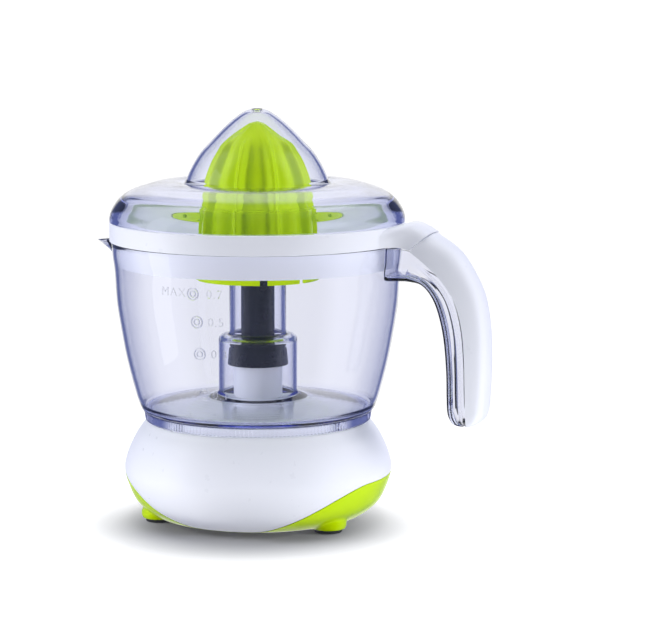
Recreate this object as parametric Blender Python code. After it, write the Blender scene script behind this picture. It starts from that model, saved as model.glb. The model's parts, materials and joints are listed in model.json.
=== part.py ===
"""A citrus press juicer, as separate pieces that come apart on a bench.

A two-part base holds a small motor, two stages of gears and a press switch. A spindle rises from
it through the chimney of a clear jug and turns the squeezing cone. The jug carries a collector
ring, a strainer and a domed lid, and each of them lifts off. Heights are above the table and
radii are from the drive axis, all in millimetres. +X runs from the drive axis to the handle.
"""

import math

import bmesh
import bpy
import numpy as np

# Driving dimensions, millimetres and degrees
MM = 0.001
GAP = 0.3
SEGMENTS = 36
SMALL_SEGMENTS = 16
SHARP_ANGLE = 35

HANDLE_REACH = 126.0
SPOUT_REACH = 92.0
AXIS_X = (SPOUT_REACH - HANDLE_REACH) / 2
BASE_TURN = 5.0
FRONT = -90.0 + BASE_TURN

# Base
BASE_OUTLINE = [(58.3, 52.1), (59.3, 50.6), (63.4, 44.9), (67.7, 36.0), (69.8, 27.5),
                (68.1, 19.5), (63.8, 10.5), (56.5, 4.3), (50.0, 2.2)]
BASE_WALL = 2.2
FLOOR_BOTTOM = 2.2
FLOOR_RADIUS = 49.0
DRAIN_RADIUS = 4.0
WAVE_LOW = 2.7
WAVE_HIGH = 25.2
WAVE_REAR_FALL = 3.0
WAVE_FLAT = 12.0
WAVE_RUN = 60.0
DECK_TOP = 52.1
SEAT_TOP = 56.6
SEAT_RADIUS = 55.4
TOWER_RADIUS = 12.7
TOWER_BORE = 9.7
TOWER_TOP = 84.2

FOOT_RADIUS = 52.8
FOOT_ANGLES = [FRONT + 60.0, FRONT - 60.0, FRONT + 180.0]
POD_RADIUS = 9.4
PAD_RADIUS = 7.0
POST_RADIUS = 46.5
POST_ANGLES = [FRONT, FRONT + 120.0, FRONT - 120.0]
GLAND_HEIGHT = 15.0

# Drive train
DRIVE_TURN = 6.0
MODULE = 1.0
WHEEL_TEETH = 40
PINION_TEETH = 8
TOOTH_REACH = 0.7
TOOTH_ROOT = 1.1
CENTRE_DISTANCE = MODULE * (WHEEL_TEETH + PINION_TEETH) / 2
ROTOR_X = -30.0
IDLER_X = ROTOR_X / 2
IDLER_Y = math.sqrt(CENTRE_DISTANCE ** 2 - IDLER_X ** 2)
PLATE_RADIUS = 42.0
CHASSIS_BOTTOM = 28.0
CHASSIS_TOP = 30.0
GEAR_COVER_BOTTOM = 44.0
GEAR_COVER_TOP = 46.0
PILLAR_RADIUS = 37.0
PILLAR_ANGLES = [60.0, -60.0, -160.0]
MOTOR_SCREW_SPREAD = 12.2
STATOR_BOTTOM = 11.0
STATOR_TOP = 23.0
ROTOR_RADIUS = 8.5
SHAFT_RADIUS = 1.5
SPINDLE_RADIUS = 8.75
SPINDLE_TOP = 147.0
DOG_TOP = 161.0
DOG_APOTHEM = 6.0
KEY_APOTHEM = 3.6
PLUNGER_TOP = 34.5
SPRING_BOTTOM = 17.3
SPRING_TOP = 23.7
LEVER_PIVOT_X = 17.0
LEVER_HEIGHT = 12.5

# Jug, ring, strainer, cone and lid
JUG_OUTLINE = [(75.4, 145.6), (74.3, 130.0), (71.9, 106.0), (67.7, 82.5), (63.7, 66.7),
               (59.7, 57.0), (58.5, 52.4)]
JUG_WALL = 1.8
CHIMNEY_RADIUS = 20.5
NECK_RADIUS = 14.7
SPOUT_HALF_ANGLE = 13.0
SPOUT_START = 128.0
SPOUT_DROP = 3.6
RING_RADIUS = 76.5
RING_BOTTOM = 145.9
RING_TOP = 155.7
SKIRT_RADIUS = 71.4
SKIRT_BOTTOM = 133.5
FUNNEL_RADIUS = 50.8
LEDGE_RADIUS = 48.0
SLOTS = 24
NOTCH_ANGLES = [23.0, 62.5]
FLUTES = 9
CONE_OUTLINE = [(0.0, 206.6), (8.8, 202.6), (19.2, 194.2), (25.4, 183.4), (28.6, 172.0),
                (30.3, 158.0), (31.4, 149.7), (31.6, 133.8)]
LID_DOME = [(2.0, 213.4), (9.4, 209.8), (19.0, 202.0), (27.9, 192.1), (33.6, 183.5),
            (36.2, 175.8)]
LID_BRIM = [(46.0, 176.6), (59.8, 173.6), (68.2, 170.2), (73.8, 164.5),
            (76.5, 156.0)]
LID_WALL = 1.8

# Handle, as (radius, height) on its grip side, its seam and its back, from the jug to the tip
GRIP_SIDE = [(84.0, 128.6), (92.0, 127.3), (97.5, 122.0), (101.3, 113.5), (104.2, 101.0),
             (105.8, 85.0), (106.2, 71.0), (107.0, 63.5), (110.5, 58.6), (114.0, 56.6)]
SEAM_SIDE = [(86.9, 144.4), (98.3, 135.6), (106.0, 127.5), (111.5, 118.3), (115.4, 103.0),
             (116.4, 86.0), (116.8, 71.0), (117.2, 62.5), (117.5, 57.8), (117.3, 55.8)]
BACK_SIDE = [(97.0, 152.9), (109.2, 144.7), (117.3, 133.4), (123.0, 120.5), (125.6, 104.0),
             (126.0, 86.0), (124.6, 72.0), (123.2, 64.5), (121.4, 59.3), (119.0, 56.6)]
HANDLE_HALF_WIDTH = 12.0

WHITE = (0.86, 0.87, 0.92)
LIME = (0.42, 0.72, 0.01)
CLEAR = (0.78, 0.80, 0.92)
SLATE = (0.05, 0.06, 0.08)
STEEL = (0.62, 0.63, 0.65)
RUBBER = (0.06, 0.06, 0.07)
NYLON = (0.84, 0.82, 0.74)
COPPER = (0.65, 0.30, 0.14)
FERRITE = (0.12, 0.12, 0.13)
BRONZE = (0.60, 0.42, 0.20)


# Curves

def smooth_curve(points, steps):
    """Points along a Catmull-Rom curve through the given points."""
    ends = [points[0], *points, points[-1]]
    curve = []
    for a, b, c, d in zip(ends, ends[1:], ends[2:], ends[3:]):
        for i in range(steps):
            t = i / steps
            curve.append(tuple(
                0.5 * (2 * q + (r - p) * t + (2 * p - 5 * q + 4 * r - s) * t ** 2
                       + (3 * q - p - 3 * r + s) * t ** 3)
                for p, q, r, s in zip(a, b, c, d)))
    curve.append(tuple(points[-1]))
    return curve


def inset(curve, depth):
    """Move an outline, listed from top to bottom on its outer side, into its wall."""
    moved = []
    for i, (radius, height) in enumerate(curve):
        before = curve[max(i - 1, 0)]
        after = curve[min(i + 1, len(curve) - 1)]
        run = math.dist(before, after)
        moved.append((radius + depth * (after[1] - before[1]) / run,
                      height - depth * (after[0] - before[0]) / run))
    return moved


def smooth_step(value):
    """Rise from 0 to 1 with a level start and end."""
    t = min(max(value, 0.0), 1.0)
    return t * t * (3 - 2 * t)


def on_circle(radius, degrees, height=0.0):
    """A point at a radius and an angle about the drive axis."""
    angle = math.radians(degrees)
    return (radius * math.cos(angle), radius * math.sin(angle), height)


# Meshes

def finished(name, bm, look, parent):
    """Make an object of a closed mesh that was built in millimetres."""
    bmesh.ops.remove_doubles(bm, verts=bm.verts, dist=0.0001)
    on_axis = [edge for edge in bm.edges if edge.is_wire]
    bmesh.ops.delete(bm, geom=on_axis, context='EDGES')
    bmesh.ops.recalc_face_normals(bm, faces=bm.faces)
    bmesh.ops.scale(bm, vec=(MM, MM, MM), verts=bm.verts)
    mesh = bpy.data.meshes.new(name)
    bm.to_mesh(mesh)
    bm.free()
    mesh.materials.append(look)
    shade(mesh)
    piece = bpy.data.objects.new(name, mesh)
    bpy.context.scene.collection.objects.link(piece)
    piece.parent = parent
    return piece


def shade(mesh):
    """Shade the round faces smooth and keep the edges sharp."""
    mesh.shade_smooth()
    mesh.set_sharp_from_angle(angle=math.radians(SHARP_ANGLE))


def join_loops(bm, loop, following):
    """Fill the band between two loops of vertices."""
    for j, corner in enumerate(loop):
        k = (j + 1) % len(loop)
        bm.faces.new((corner, loop[k], following[k], following[j]))


def swept(name, outline_at, look, parent, segments=SEGMENTS):
    """Turn a closed (radius, height) outline about Z, where the outline may change with angle."""
    bm = bmesh.new()
    loops = []
    for i in range(segments):
        angle = math.tau * i / segments
        loops.append([bm.verts.new((radius * math.cos(angle), radius * math.sin(angle), height))
                      for radius, height in outline_at(angle)])
    for i, loop in enumerate(loops):
        join_loops(bm, loop, loops[(i + 1) % segments])
    return finished(name, bm, look, parent)


def turned(name, outline, look, parent, segments=SMALL_SEGMENTS):
    """Turn one closed (radius, height) outline about Z."""
    return swept(name, lambda angle: outline, look, parent, segments)


def lofted(name, sections, look, parent):
    """Skin a row of closed sections and cap both ends."""
    bm = bmesh.new()
    loops = [[bm.verts.new(point) for point in section] for section in sections]
    for loop, following in zip(loops, loops[1:]):
        join_loops(bm, loop, following)
    bm.faces.new(loops[0])
    bm.faces.new(loops[-1])
    return finished(name, bm, look, parent)


def prism(name, outline, bottom, top, look, parent):
    """Stand an (x, y) outline up between two heights."""
    sections = [[(x, y, height) for x, y in outline] for height in (bottom, top)]
    return lofted(name, sections, look, parent)


def block(name, low, high, look, parent):
    """A rectangular block between two corners."""
    outline = [(low[0], low[1]), (high[0], low[1]), (high[0], high[1]), (low[0], high[1])]
    return prism(name, outline, low[2], high[2], look, parent)


def rod(name, centre, radius, bottom, top, look, parent, sides=SMALL_SEGMENTS):
    """An upright round bar."""
    outline = [(centre[0] + radius * math.cos(math.tau * i / sides),
                centre[1] + radius * math.sin(math.tau * i / sides)) for i in range(sides)]
    return prism(name, outline, bottom, top, look, parent)


def hexagon(apothem):
    """The corners of a hexagon with flats facing +Y and -Y."""
    reach = apothem / math.cos(math.pi / 6)
    return [(reach * math.cos(math.tau * i / 6), reach * math.sin(math.tau * i / 6))
            for i in range(6)]


def reworked(piece, tools, operation):
    """Join the tools to a piece, or cut them out of it, and use the tools up."""
    for tool in tools:
        change = piece.modifiers.new("rework", 'BOOLEAN')
        change.operation = operation
        change.object = tool
    bpy.context.view_layer.update()
    view = bpy.context.evaluated_depsgraph_get()
    mesh = bpy.data.meshes.new_from_object(piece.evaluated_get(view))
    look = piece.data.materials[0]
    mesh.materials.clear()
    mesh.materials.append(look)
    piece.modifiers.clear()
    piece.data = mesh
    shade(mesh)
    for tool in tools:
        bpy.data.objects.remove(tool)
    return piece


def joined(piece, tools):
    """Join the tools to a piece."""
    return reworked(piece, tools, 'UNION')


def cut(piece, tools):
    """Cut the tools out of a piece."""
    return reworked(piece, tools, 'DIFFERENCE')


def finish(name, colour, roughness, metallic=0.0, alpha=1.0):
    """A plain shader for one sub-part."""
    look = bpy.data.materials.new(name + "_finish")
    look.use_nodes = True
    shader = look.node_tree.nodes["Principled BSDF"]
    shader.inputs["Base Color"].default_value = (*colour, 1.0)
    shader.inputs["Roughness"].default_value = roughness
    shader.inputs["Metallic"].default_value = metallic
    shader.inputs["Alpha"].default_value = alpha
    look.diffuse_color = (*colour, alpha)
    return look


def axis_at(name, location, parent=None, turn=0.0):
    """An empty that marks a turning or sliding axis, turned about Z by some degrees."""
    marker = bpy.data.objects.new(name, None)
    marker.location = [value * MM for value in location]
    marker.rotation_euler = (0.0, 0.0, math.radians(turn))
    marker.parent = parent
    bpy.context.scene.collection.objects.link(marker)
    return marker


# Base shells

def wave_height(angle):
    """Height of the line between the white housing and the green cover."""
    turn = abs(math.degrees(math.remainder(angle - math.radians(FRONT), math.tau)))
    rise = smooth_step((turn - WAVE_FLAT) / WAVE_RUN)
    fall = smooth_step((turn - WAVE_FLAT - WAVE_RUN) / (180 - WAVE_FLAT - WAVE_RUN))
    return WAVE_LOW + (WAVE_HIGH - WAVE_LOW) * rise - WAVE_REAR_FALL * fall


def base_wall(bottom, top, count, depth):
    """Points of the base's side wall from top to bottom, set into the wall by a depth."""
    curve = smooth_curve(BASE_OUTLINE, 6)
    radii, heights = zip(*reversed(curve))
    inner_radii, inner_heights = zip(*reversed(inset(curve, depth)))
    points = []
    for i in range(count, -1, -1):
        height = bottom + (top - bottom) * (i / count) ** 1.5
        place = np.interp(height, heights, range(len(heights)))
        points.append((float(np.interp(place, range(len(radii)), inner_radii)),
                       float(np.interp(place, range(len(radii)), inner_heights))))
    return points


def housing_outline(angle):
    """The white housing's section: side wall and seat for the jug."""
    lowest = wave_height(angle) + GAP / 2
    outside = base_wall(lowest, DECK_TOP - 0.1, 6, 0.0)
    inside = base_wall(lowest, DECK_TOP - 3.5, 5, BASE_WALL)
    seat = [(54.0, DECK_TOP - BASE_WALL), (53.2, SEAT_TOP - BASE_WALL),
            (TOWER_RADIUS + GAP, SEAT_TOP - BASE_WALL), (TOWER_RADIUS + GAP, SEAT_TOP),
            (SEAT_RADIUS - 0.6, SEAT_TOP), (SEAT_RADIUS, SEAT_TOP - 0.6), (SEAT_RADIUS, DECK_TOP)]
    return outside + inside[::-1] + seat


def base_housing(axis):
    """White upper shell with its screw posts."""
    look = finish("base_housing", WHITE, 0.18)
    piece = swept("base_housing", housing_outline, look, axis)
    ceiling = SEAT_TOP - 1.0
    posts = [rod("post", on_circle(POST_RADIUS, angle), 3.5, FLOOR_BOTTOM + BASE_WALL + 0.4,
                 ceiling, look, axis, 12) for angle in POST_ANGLES]
    posts += [rod("boss", on_circle(PILLAR_RADIUS, angle + DRIVE_TURN), 3.2, GEAR_COVER_TOP + GAP,
                  ceiling, look, axis, 12) for angle in PILLAR_ANGLES]
    joined(piece, posts)
    holes = [rod("hole", on_circle(POST_RADIUS, angle), 1.6, 0.0, 17.0, look, axis, 10)
             for angle in POST_ANGLES]
    holes += [rod("hole", on_circle(PILLAR_RADIUS, angle + DRIVE_TURN), 1.5, 40.0, 51.5,
                  look, axis, 10) for angle in PILLAR_ANGLES]
    return cut(piece, holes)


def spindle_tower(axis):
    """White tube that stands in the seat and keeps juice away from the spindle's bearing."""
    flange = SEAT_TOP + GAP
    turned("spindle_tower", [
        (TOWER_BORE, SEAT_TOP - 3.6), (TOWER_BORE, 76.0), (8.0, 77.6), (8.0, TOWER_TOP),
        (TOWER_RADIUS - 0.8, TOWER_TOP), (TOWER_RADIUS, TOWER_TOP - 0.8), (TOWER_RADIUS, 60.2),
        (TOWER_RADIUS + 2.5, flange + 0.5), (TOWER_RADIUS + 2.5, flange), (TOWER_RADIUS, flange),
        (TOWER_RADIUS, SEAT_TOP - 3.6)], finish("spindle_tower", WHITE, 0.18), axis, 24)


def cover_outline(angle):
    """The green bottom cover's section: floor and the lower part of the side wall."""
    highest = wave_height(angle) - GAP / 2
    outside = base_wall(FLOOR_BOTTOM + 0.05, highest, 4, 0.0)
    inside = base_wall(FLOOR_BOTTOM + 0.05, highest, 4, BASE_WALL)
    floor_top = FLOOR_BOTTOM + BASE_WALL
    return (outside + [(FLOOR_RADIUS, FLOOR_BOTTOM), (DRAIN_RADIUS, FLOOR_BOTTOM),
                       (DRAIN_RADIUS, floor_top), (FLOOR_RADIUS - 1.0, floor_top)]
            + inside[::-1])


def gland_frame():
    """The point, outward direction and upward direction of the cord inlet on the rear wall."""
    (low_radius, low), (high_radius, high) = base_wall(
        GLAND_HEIGHT - 1.0, GLAND_HEIGHT + 1.0, 1, 0.0)[::-1]
    run = math.hypot(high - low, high_radius - low_radius)
    outward = ((high - low) / run, (low_radius - high_radius) / run)
    return ((low_radius + high_radius) / 2, (low + high) / 2), outward


def along_gland(name, outline, look, axis, sides=SMALL_SEGMENTS):
    """Turn an outline of (radius, distance out of the wall) about the cord inlet's axis."""
    (radius, height), (out, up) = gland_frame()
    around = math.radians(FRONT + 180.0)
    bm = bmesh.new()
    loops = []
    for i in range(sides):
        turn = math.tau * i / sides
        loop = []
        for reach, distance in outline:
            side = reach * math.cos(turn)
            lift = reach * math.sin(turn)
            spread = radius + out * distance - up * lift
            loop.append(bm.verts.new((
                spread * math.cos(around) - side * math.sin(around),
                spread * math.sin(around) + side * math.cos(around),
                height + up * distance + out * lift)))
        loops.append(loop)
    for i, loop in enumerate(loops):
        join_loops(bm, loop, loops[(i + 1) % sides])
    return finished(name, bm, look, axis)


def base_bottom_cover(axis):
    """Green lower shell with three rounded foot pods, screw recesses and vents."""
    look = finish("base_bottom_cover", LIME, 0.2)
    piece = swept("base_bottom_cover", cover_outline, look, axis)
    pods = []
    for angle in FOOT_ANGLES:
        pod = turned("pod", [(0.0, 10.5), (4.5, 10.0), (7.8, 8.2), (POD_RADIUS, 5.2),
                             (9.1, 3.2), (8.3, 1.7), (0.0, 1.7)], look, axis, 18)
        pod.location = [value * MM for value in on_circle(FOOT_RADIUS, angle)]
        pods.append(pod)
    joined(piece, pods)
    holes = []
    for angle in FOOT_ANGLES:
        place = on_circle(FOOT_RADIUS, angle)
        holes.append(rod("recess", place, PAD_RADIUS + GAP, 0.0, 3.0, look, axis))
        holes.append(rod("socket", place, 3.3, 2.0, 6.5, look, axis, 12))
    for angle in POST_ANGLES:
        place = on_circle(POST_RADIUS, angle)
        holes.append(rod("recess", place, 3.4, 0.0, 3.4, look, axis, 16))
        holes.append(rod("hole", place, 1.6, 3.0, 6.0, look, axis, 10))
    for i in range(6):
        angle = math.radians(FRONT + 60 * i + 30)
        vent = block("vent", (18.0, -1.2, 0.0), (34.0, 1.2, 7.0), look, axis)
        vent.rotation_euler = (0.0, 0.0, angle)
        holes.append(vent)
    holes.append(along_gland("inlet", [(0.0, 6.0), (4.3, 6.0), (4.3, -8.0), (0.0, -8.0)],
                             look, axis))
    return cut(piece, holes)


def cord_gland(axis):
    """Grommet of the cord inlet in the rear wall."""
    look = finish("cord_gland", RUBBER, 0.6)
    outline = [(5.6, GAP), (5.4, 1.6), (4.2, 2.8), (2.6, 2.8), (2.6, -4.6), (5.2, -4.6),
               (5.2, -BASE_WALL - 0.9), (4.0, -BASE_WALL - 0.9), (4.0, GAP)]
    return along_gland("cord_gland", outline, look, axis)


def foot_pads(axis):
    """Rubber pads plugged into the pods."""
    for i, angle in enumerate(FOOT_ANGLES):
        name = f"foot_pad_{i + 1}"
        pad = turned(name, [(0.0, 6.0), (2.7, 6.0), (3.0, 5.4), (3.0, 2.7), (PAD_RADIUS, 2.7),
                            (PAD_RADIUS, 0.6), (6.4, 0.0), (0.0, 0.0)],
                     finish(name, RUBBER, 0.75), axis)
        pad.location = [value * MM for value in on_circle(FOOT_RADIUS, angle)]


def screw(name, place, head, shank, bottom, neck, top, axis):
    """A screw with its head down and a conical point."""
    piece = turned(name, [(0.0, top), (shank, top - 1.0), (shank, neck), (head, neck),
                          (head, bottom), (1.0, bottom), (0.8, bottom + 0.6),
                          (0.0, bottom + 0.6)],
                   finish(name, STEEL, 0.3, 1.0), axis, 10)
    piece.location = [value * MM for value in place]
    return piece


# Drive train

def tooth_outline(teeth, phase):
    """A spur gear's outline with one tooth centred on the phase angle, in degrees."""
    pitch_radius = MODULE * teeth / 2
    tip = pitch_radius + TOOTH_REACH * MODULE
    root = pitch_radius - TOOTH_ROOT * MODULE
    pitch_angle = math.tau / teeth
    outline = []
    for i in range(teeth):
        middle = math.radians(phase) + i * pitch_angle
        for radius, half in ((root, 0.27), (tip, 0.11), (tip, -0.11), (root, -0.27)):
            turn = middle - half * pitch_angle
            outline.append((radius * math.cos(turn), radius * math.sin(turn)))
    return outline


def chassis_plate(axis):
    """Lower gearbox plate with pillars and the central well for the press spring."""
    look = finish("chassis_plate", NYLON, 0.45)
    piece = turned("chassis_plate", [
        (PLATE_RADIUS, CHASSIS_TOP), (PLATE_RADIUS, CHASSIS_BOTTOM), (8.0, CHASSIS_BOTTOM),
        (8.0, 15.0), (2.6, 15.0), (2.6, SPRING_BOTTOM - GAP), (6.2, SPRING_BOTTOM - GAP),
        (6.2, CHASSIS_TOP)], look, axis, 24)
    pillars = [rod("pillar", on_circle(PILLAR_RADIUS, angle), 3.2, CHASSIS_TOP - 0.5,
                   GEAR_COVER_BOTTOM - GAP, look, axis, 12) for angle in PILLAR_ANGLES]
    motor_places = [(ROTOR_X + side * MOTOR_SCREW_SPREAD, 0.0) for side in (-1, 1)]
    pillars += [rod("boss", place, 2.4, STATOR_TOP + GAP, CHASSIS_BOTTOM + 0.5, look, axis, 12)
                for place in motor_places]
    joined(piece, pillars)
    holes = [rod("hole", on_circle(PILLAR_RADIUS, angle), 1.5, 20.0, 50.0, look, axis, 10)
             for angle in PILLAR_ANGLES]
    holes += [rod("hole", place, 1.6, 20.0, 28.8, look, axis, 10) for place in motor_places]
    holes.append(rod("hole", (ROTOR_X, 0.0), 3.6, 20.0, 40.0, look, axis, 16))
    holes.append(rod("hole", (IDLER_X, IDLER_Y), SHAFT_RADIUS + GAP, 20.0, 40.0, look, axis, 12))
    return cut(piece, holes)


def gearbox_cover(axis):
    """Upper gearbox plate, screwed up against the housing."""
    look = finish("gearbox_cover", NYLON, 0.45)
    piece = turned("gearbox_cover", [
        (PLATE_RADIUS, GEAR_COVER_TOP), (PLATE_RADIUS, GEAR_COVER_BOTTOM),
        (6.4, GEAR_COVER_BOTTOM), (6.4, GEAR_COVER_TOP)], look, axis, 24)
    holes = [rod("hole", on_circle(PILLAR_RADIUS, angle), 1.5, 40.0, 50.0, look, axis, 10)
             for angle in PILLAR_ANGLES]
    holes.append(rod("hole", (IDLER_X, IDLER_Y), SHAFT_RADIUS + GAP, 40.0, 50.0, look, axis, 12))
    return cut(piece, holes)


def motor(axis, rotor_axis):
    """U-core motor: stator, coil, bracket, bush, screws and the turning rotor with its pinion."""
    iron = finish("stator_core", STEEL, 0.5, 1.0)
    left, right = ROTOR_X - 15.0, ROTOR_X + 15.0
    core = block("stator_core", (left, -31.0, STATOR_BOTTOM), (right, 12.5, STATOR_TOP),
                 iron, axis)
    holes = [rod("bore", (ROTOR_X, 0.0), ROTOR_RADIUS + 0.8, 5.0, 30.0, iron, axis, 20),
             block("window", (left + 8.0, -24.0, 5.0), (right - 8.0, -12.5, 30.0), iron, axis)]
    screw_places = [(ROTOR_X + side * MOTOR_SCREW_SPREAD, 0.0) for side in (-1, 1)]
    holes += [rod("hole", place, 1.6, 5.0, 30.0, iron, axis, 10) for place in screw_places]
    cut(core, holes)

    copper = finish("stator_coil", COPPER, 0.4)
    coil = block("stator_coil", (left + 8.0 + GAP, -34.5, 7.5), (right - 8.0 - GAP, -20.5, 26.5),
                 copper, axis)
    cut(coil, [block("limb", (left, -31.0 - GAP, STATOR_BOTTOM - GAP),
                     (right, -24.0 + GAP, STATOR_TOP + GAP), copper, axis)])

    bracket_look = finish("motor_bracket", STEEL, 0.35, 1.0)
    bracket = block("motor_bracket", (left, -5.0, 7.0), (right, 5.0, STATOR_BOTTOM - GAP),
                    bracket_look, axis)
    cut(bracket, [block("arch", (left + 4.6, -6.0, 8.6), (right - 4.6, 6.0, 20.0),
                        bracket_look, axis),
                  rod("bore", (ROTOR_X, 0.0), SHAFT_RADIUS + GAP, 5.0, 12.0, bracket_look, axis, 12),
                  *[rod("hole", place, 1.6, 5.0, 20.0, bracket_look, axis, 10)
                    for place in screw_places]])
    for i, place in enumerate(screw_places):
        screw(f"motor_screw_{i + 1}", (*place, 0.0), 2.4, 1.3, 5.0, 6.7, 28.4, axis)

    turned("motor_bush", [(3.3, 30.2), (3.3, 27.8), (SHAFT_RADIUS + GAP, 27.8),
                          (SHAFT_RADIUS + GAP, 30.2)], finish("motor_bush", BRONZE, 0.4, 1.0),
           rotor_axis, 16)
    turned("motor_rotor", [(ROTOR_RADIUS, 24.0), (ROTOR_RADIUS, 10.0), (SHAFT_RADIUS + GAP, 10.0),
                           (SHAFT_RADIUS + GAP, 24.0)], finish("motor_rotor", FERRITE, 0.5),
           rotor_axis, 20)
    turned("motor_shaft", [(0.0, 36.4), (1.2, 36.4), (SHAFT_RADIUS, 36.1), (SHAFT_RADIUS, 6.6),
                           (0.0, 6.6)], finish("motor_shaft", STEEL, 0.25, 1.0), rotor_axis, 12)
    facing = math.degrees(math.atan2(IDLER_Y, IDLER_X - ROTOR_X))
    look = finish("motor_pinion", NYLON, 0.4)
    pinion = prism("motor_pinion", tooth_outline(PINION_TEETH, facing + 180.0 / PINION_TEETH),
                   30.8, 35.2, look, rotor_axis)
    cut(pinion, [rod("bore", (0.0, 0.0), SHAFT_RADIUS + GAP, 20.0, 40.0, look, rotor_axis, 12)])


def idler(idler_axis):
    """Fixed axle and the compound gear that turns on it."""
    turned("idler_axle", [(0.0, 45.8), (SHAFT_RADIUS, 45.5), (SHAFT_RADIUS, 28.5), (0.0, 28.2)],
           finish("idler_axle", STEEL, 0.25, 1.0), idler_axis, 12)
    look = finish("idler_gear", NYLON, 0.4)
    to_rotor = math.degrees(math.atan2(-IDLER_Y, ROTOR_X - IDLER_X))
    to_output = math.degrees(math.atan2(-IDLER_Y, -IDLER_X))
    gear = prism("idler_gear", tooth_outline(WHEEL_TEETH, to_rotor), 31.0, 34.3, look, idler_axis)
    joined(gear, [prism("small", tooth_outline(PINION_TEETH, to_output + 180.0 / PINION_TEETH),
                        34.0, 43.0, look, idler_axis)])
    cut(gear, [rod("bore", (0.0, 0.0), SHAFT_RADIUS + GAP, 20.0, 50.0, look, idler_axis, 12)])


def output_gear(axis):
    """Large gear on the drive axis, with a hub and a hexagonal bore that the spindle slides in."""
    look = finish("output_gear", NYLON, 0.4)
    to_idler = math.degrees(math.atan2(IDLER_Y, IDLER_X))
    gear = prism("output_gear", tooth_outline(WHEEL_TEETH, to_idler), 37.0, 42.0, look, axis)
    joined(gear, [rod("hub", (0.0, 0.0), 6.0, 41.0, 46.5, look, axis)])
    cut(gear, [prism("bore", hexagon(KEY_APOTHEM + 0.4), 30.0, 50.0, look, axis)])
    turned("thrust_washer", [(10.0, 43.7), (10.0, 42.3), (6.3, 42.3), (6.3, 43.7)],
           finish("thrust_washer", BRONZE, 0.4, 1.0), axis)


def press_parts(axis):
    """Sprung plunger under the spindle, and the switch that it works."""
    turned("thrust_plunger", [(0.0, PLUNGER_TOP), (2.2, PLUNGER_TOP), (2.2, 26.0), (5.6, 26.0),
                              (5.6, 24.0), (2.2, 24.0), (2.2, 13.2), (0.0, 13.2)],
           finish("thrust_plunger", NYLON, 0.4), axis, 16)

    wire, coil_radius, turns, steps = 0.45, 4.1, 3.5, 10
    sections = []
    for i in range(int(turns * steps) + 1):
        angle = math.tau * i / steps
        height = SPRING_BOTTOM + wire + (SPRING_TOP - SPRING_BOTTOM - 2 * wire) * i / (turns * steps)
        section = []
        for k in range(5):
            reach = coil_radius + wire * math.cos(math.tau * k / 5)
            section.append((reach * math.cos(angle), reach * math.sin(angle),
                            height + wire * math.sin(math.tau * k / 5)))
        sections.append(section)
    lofted("return_spring", sections, finish("return_spring", STEEL, 0.3, 1.0), axis)

    look = finish("switch_body", RUBBER, 0.5)
    body = block("switch_body", (5.0, -3.9, 4.7), (20.0, 3.9, 9.6), look, axis)
    joined(body, [block("ear", (15.0, side * 3.4 - 0.5, 9.0), (19.0, side * 3.4 + 0.5, 14.2),
                        look, axis) for side in (-1, 1)])
    pivot_at = (LEVER_PIVOT_X, LEVER_HEIGHT)
    cut(body, [cross_pin("hole", pivot_at, 0.9, 5.0, look, axis)])
    metal = finish("switch_lever", STEEL, 0.3, 1.0)
    lever = block("switch_lever", (-3.0, -2.4, LEVER_HEIGHT - 0.4),
                  (LEVER_PIVOT_X + 1.0, 2.4, LEVER_HEIGHT + 0.4), metal, axis)
    joined(lever, [cross_pin("pin", pivot_at, 0.6, 3.8, metal, axis)])


def cross_pin(name, centre, radius, half_length, look, axis):
    """A round bar along Y at an (x, height) place."""
    sections = [[(centre[0] + radius * math.cos(math.tau * i / 10), side * half_length,
                  centre[1] + radius * math.sin(math.tau * i / 10)) for i in range(10)]
                for side in (-1, 1)]
    return lofted(name, sections, look, axis)


def drive_spindle(axis):
    """Dark spindle: hexagonal key, shaft, drip umbrella over the tower, and the drive dog."""
    look = finish("drive_spindle", SLATE, 0.25)
    piece = turned("drive_spindle", [
        (0.0, SPINDLE_TOP + 0.5), (8.2, SPINDLE_TOP + 0.5), (SPINDLE_RADIUS, SPINDLE_TOP),
        (SPINDLE_RADIUS, 94.2), (9.6, 93.4), (13.8, 93.2), (14.6, 92.4), (14.8, 91.0),
        (14.2, 90.5), (14.2, 89.9), (15.0, 89.3), (15.8, 81.0), (13.4, 81.0), (13.4, 88.4),
        (5.0, 88.4), (5.0, 77.2), (4.3, 77.2), (4.3, 75.8), (5.0, 75.8), (5.0, 49.6),
        (2.2, 49.2), (2.2, 34.8), (0.0, 34.8)], look, axis, 20)
    joined(piece, [prism("key", hexagon(KEY_APOTHEM), 37.5, 50.0, look, axis),
                   prism("dog", hexagon(DOG_APOTHEM), SPINDLE_TOP, DOG_TOP, look, axis)])
    turned("spindle_circlip", [(7.2, 76.9), (7.2, 76.1), (4.6, 76.1), (4.6, 76.9)],
           finish("spindle_circlip", STEEL, 0.3, 1.0), axis)
    turned("tower_bush", [(9.4, 85.2), (9.4, TOWER_TOP + GAP), (7.7, TOWER_TOP + GAP),
                          (7.7, 78.2), (5.3, 78.2), (5.3, 85.2)],
           finish("tower_bush", BRONZE, 0.4, 1.0), axis)
    turned("shaft_seal", [(9.4, 69.0), (9.4, 66.0), (5.4, 66.0), (5.3, 67.5), (6.6, 69.0)],
           finish("shaft_seal", RUBBER, 0.7), axis)


# Jug and handle

def spout_shift(angle, height):
    """How far the pouring spout pushes the jug's wall out and its rim down."""
    turn = abs(math.degrees(math.remainder(angle - math.pi, math.tau)))
    width = max(0.0, 1.0 - turn / SPOUT_HALF_ANGLE)
    rise = smooth_step((height - SPOUT_START) / (JUG_OUTLINE[0][1] - SPOUT_START))
    return (SPOUT_REACH - JUG_OUTLINE[0][0]) * width * rise, SPOUT_DROP * width * rise


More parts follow.
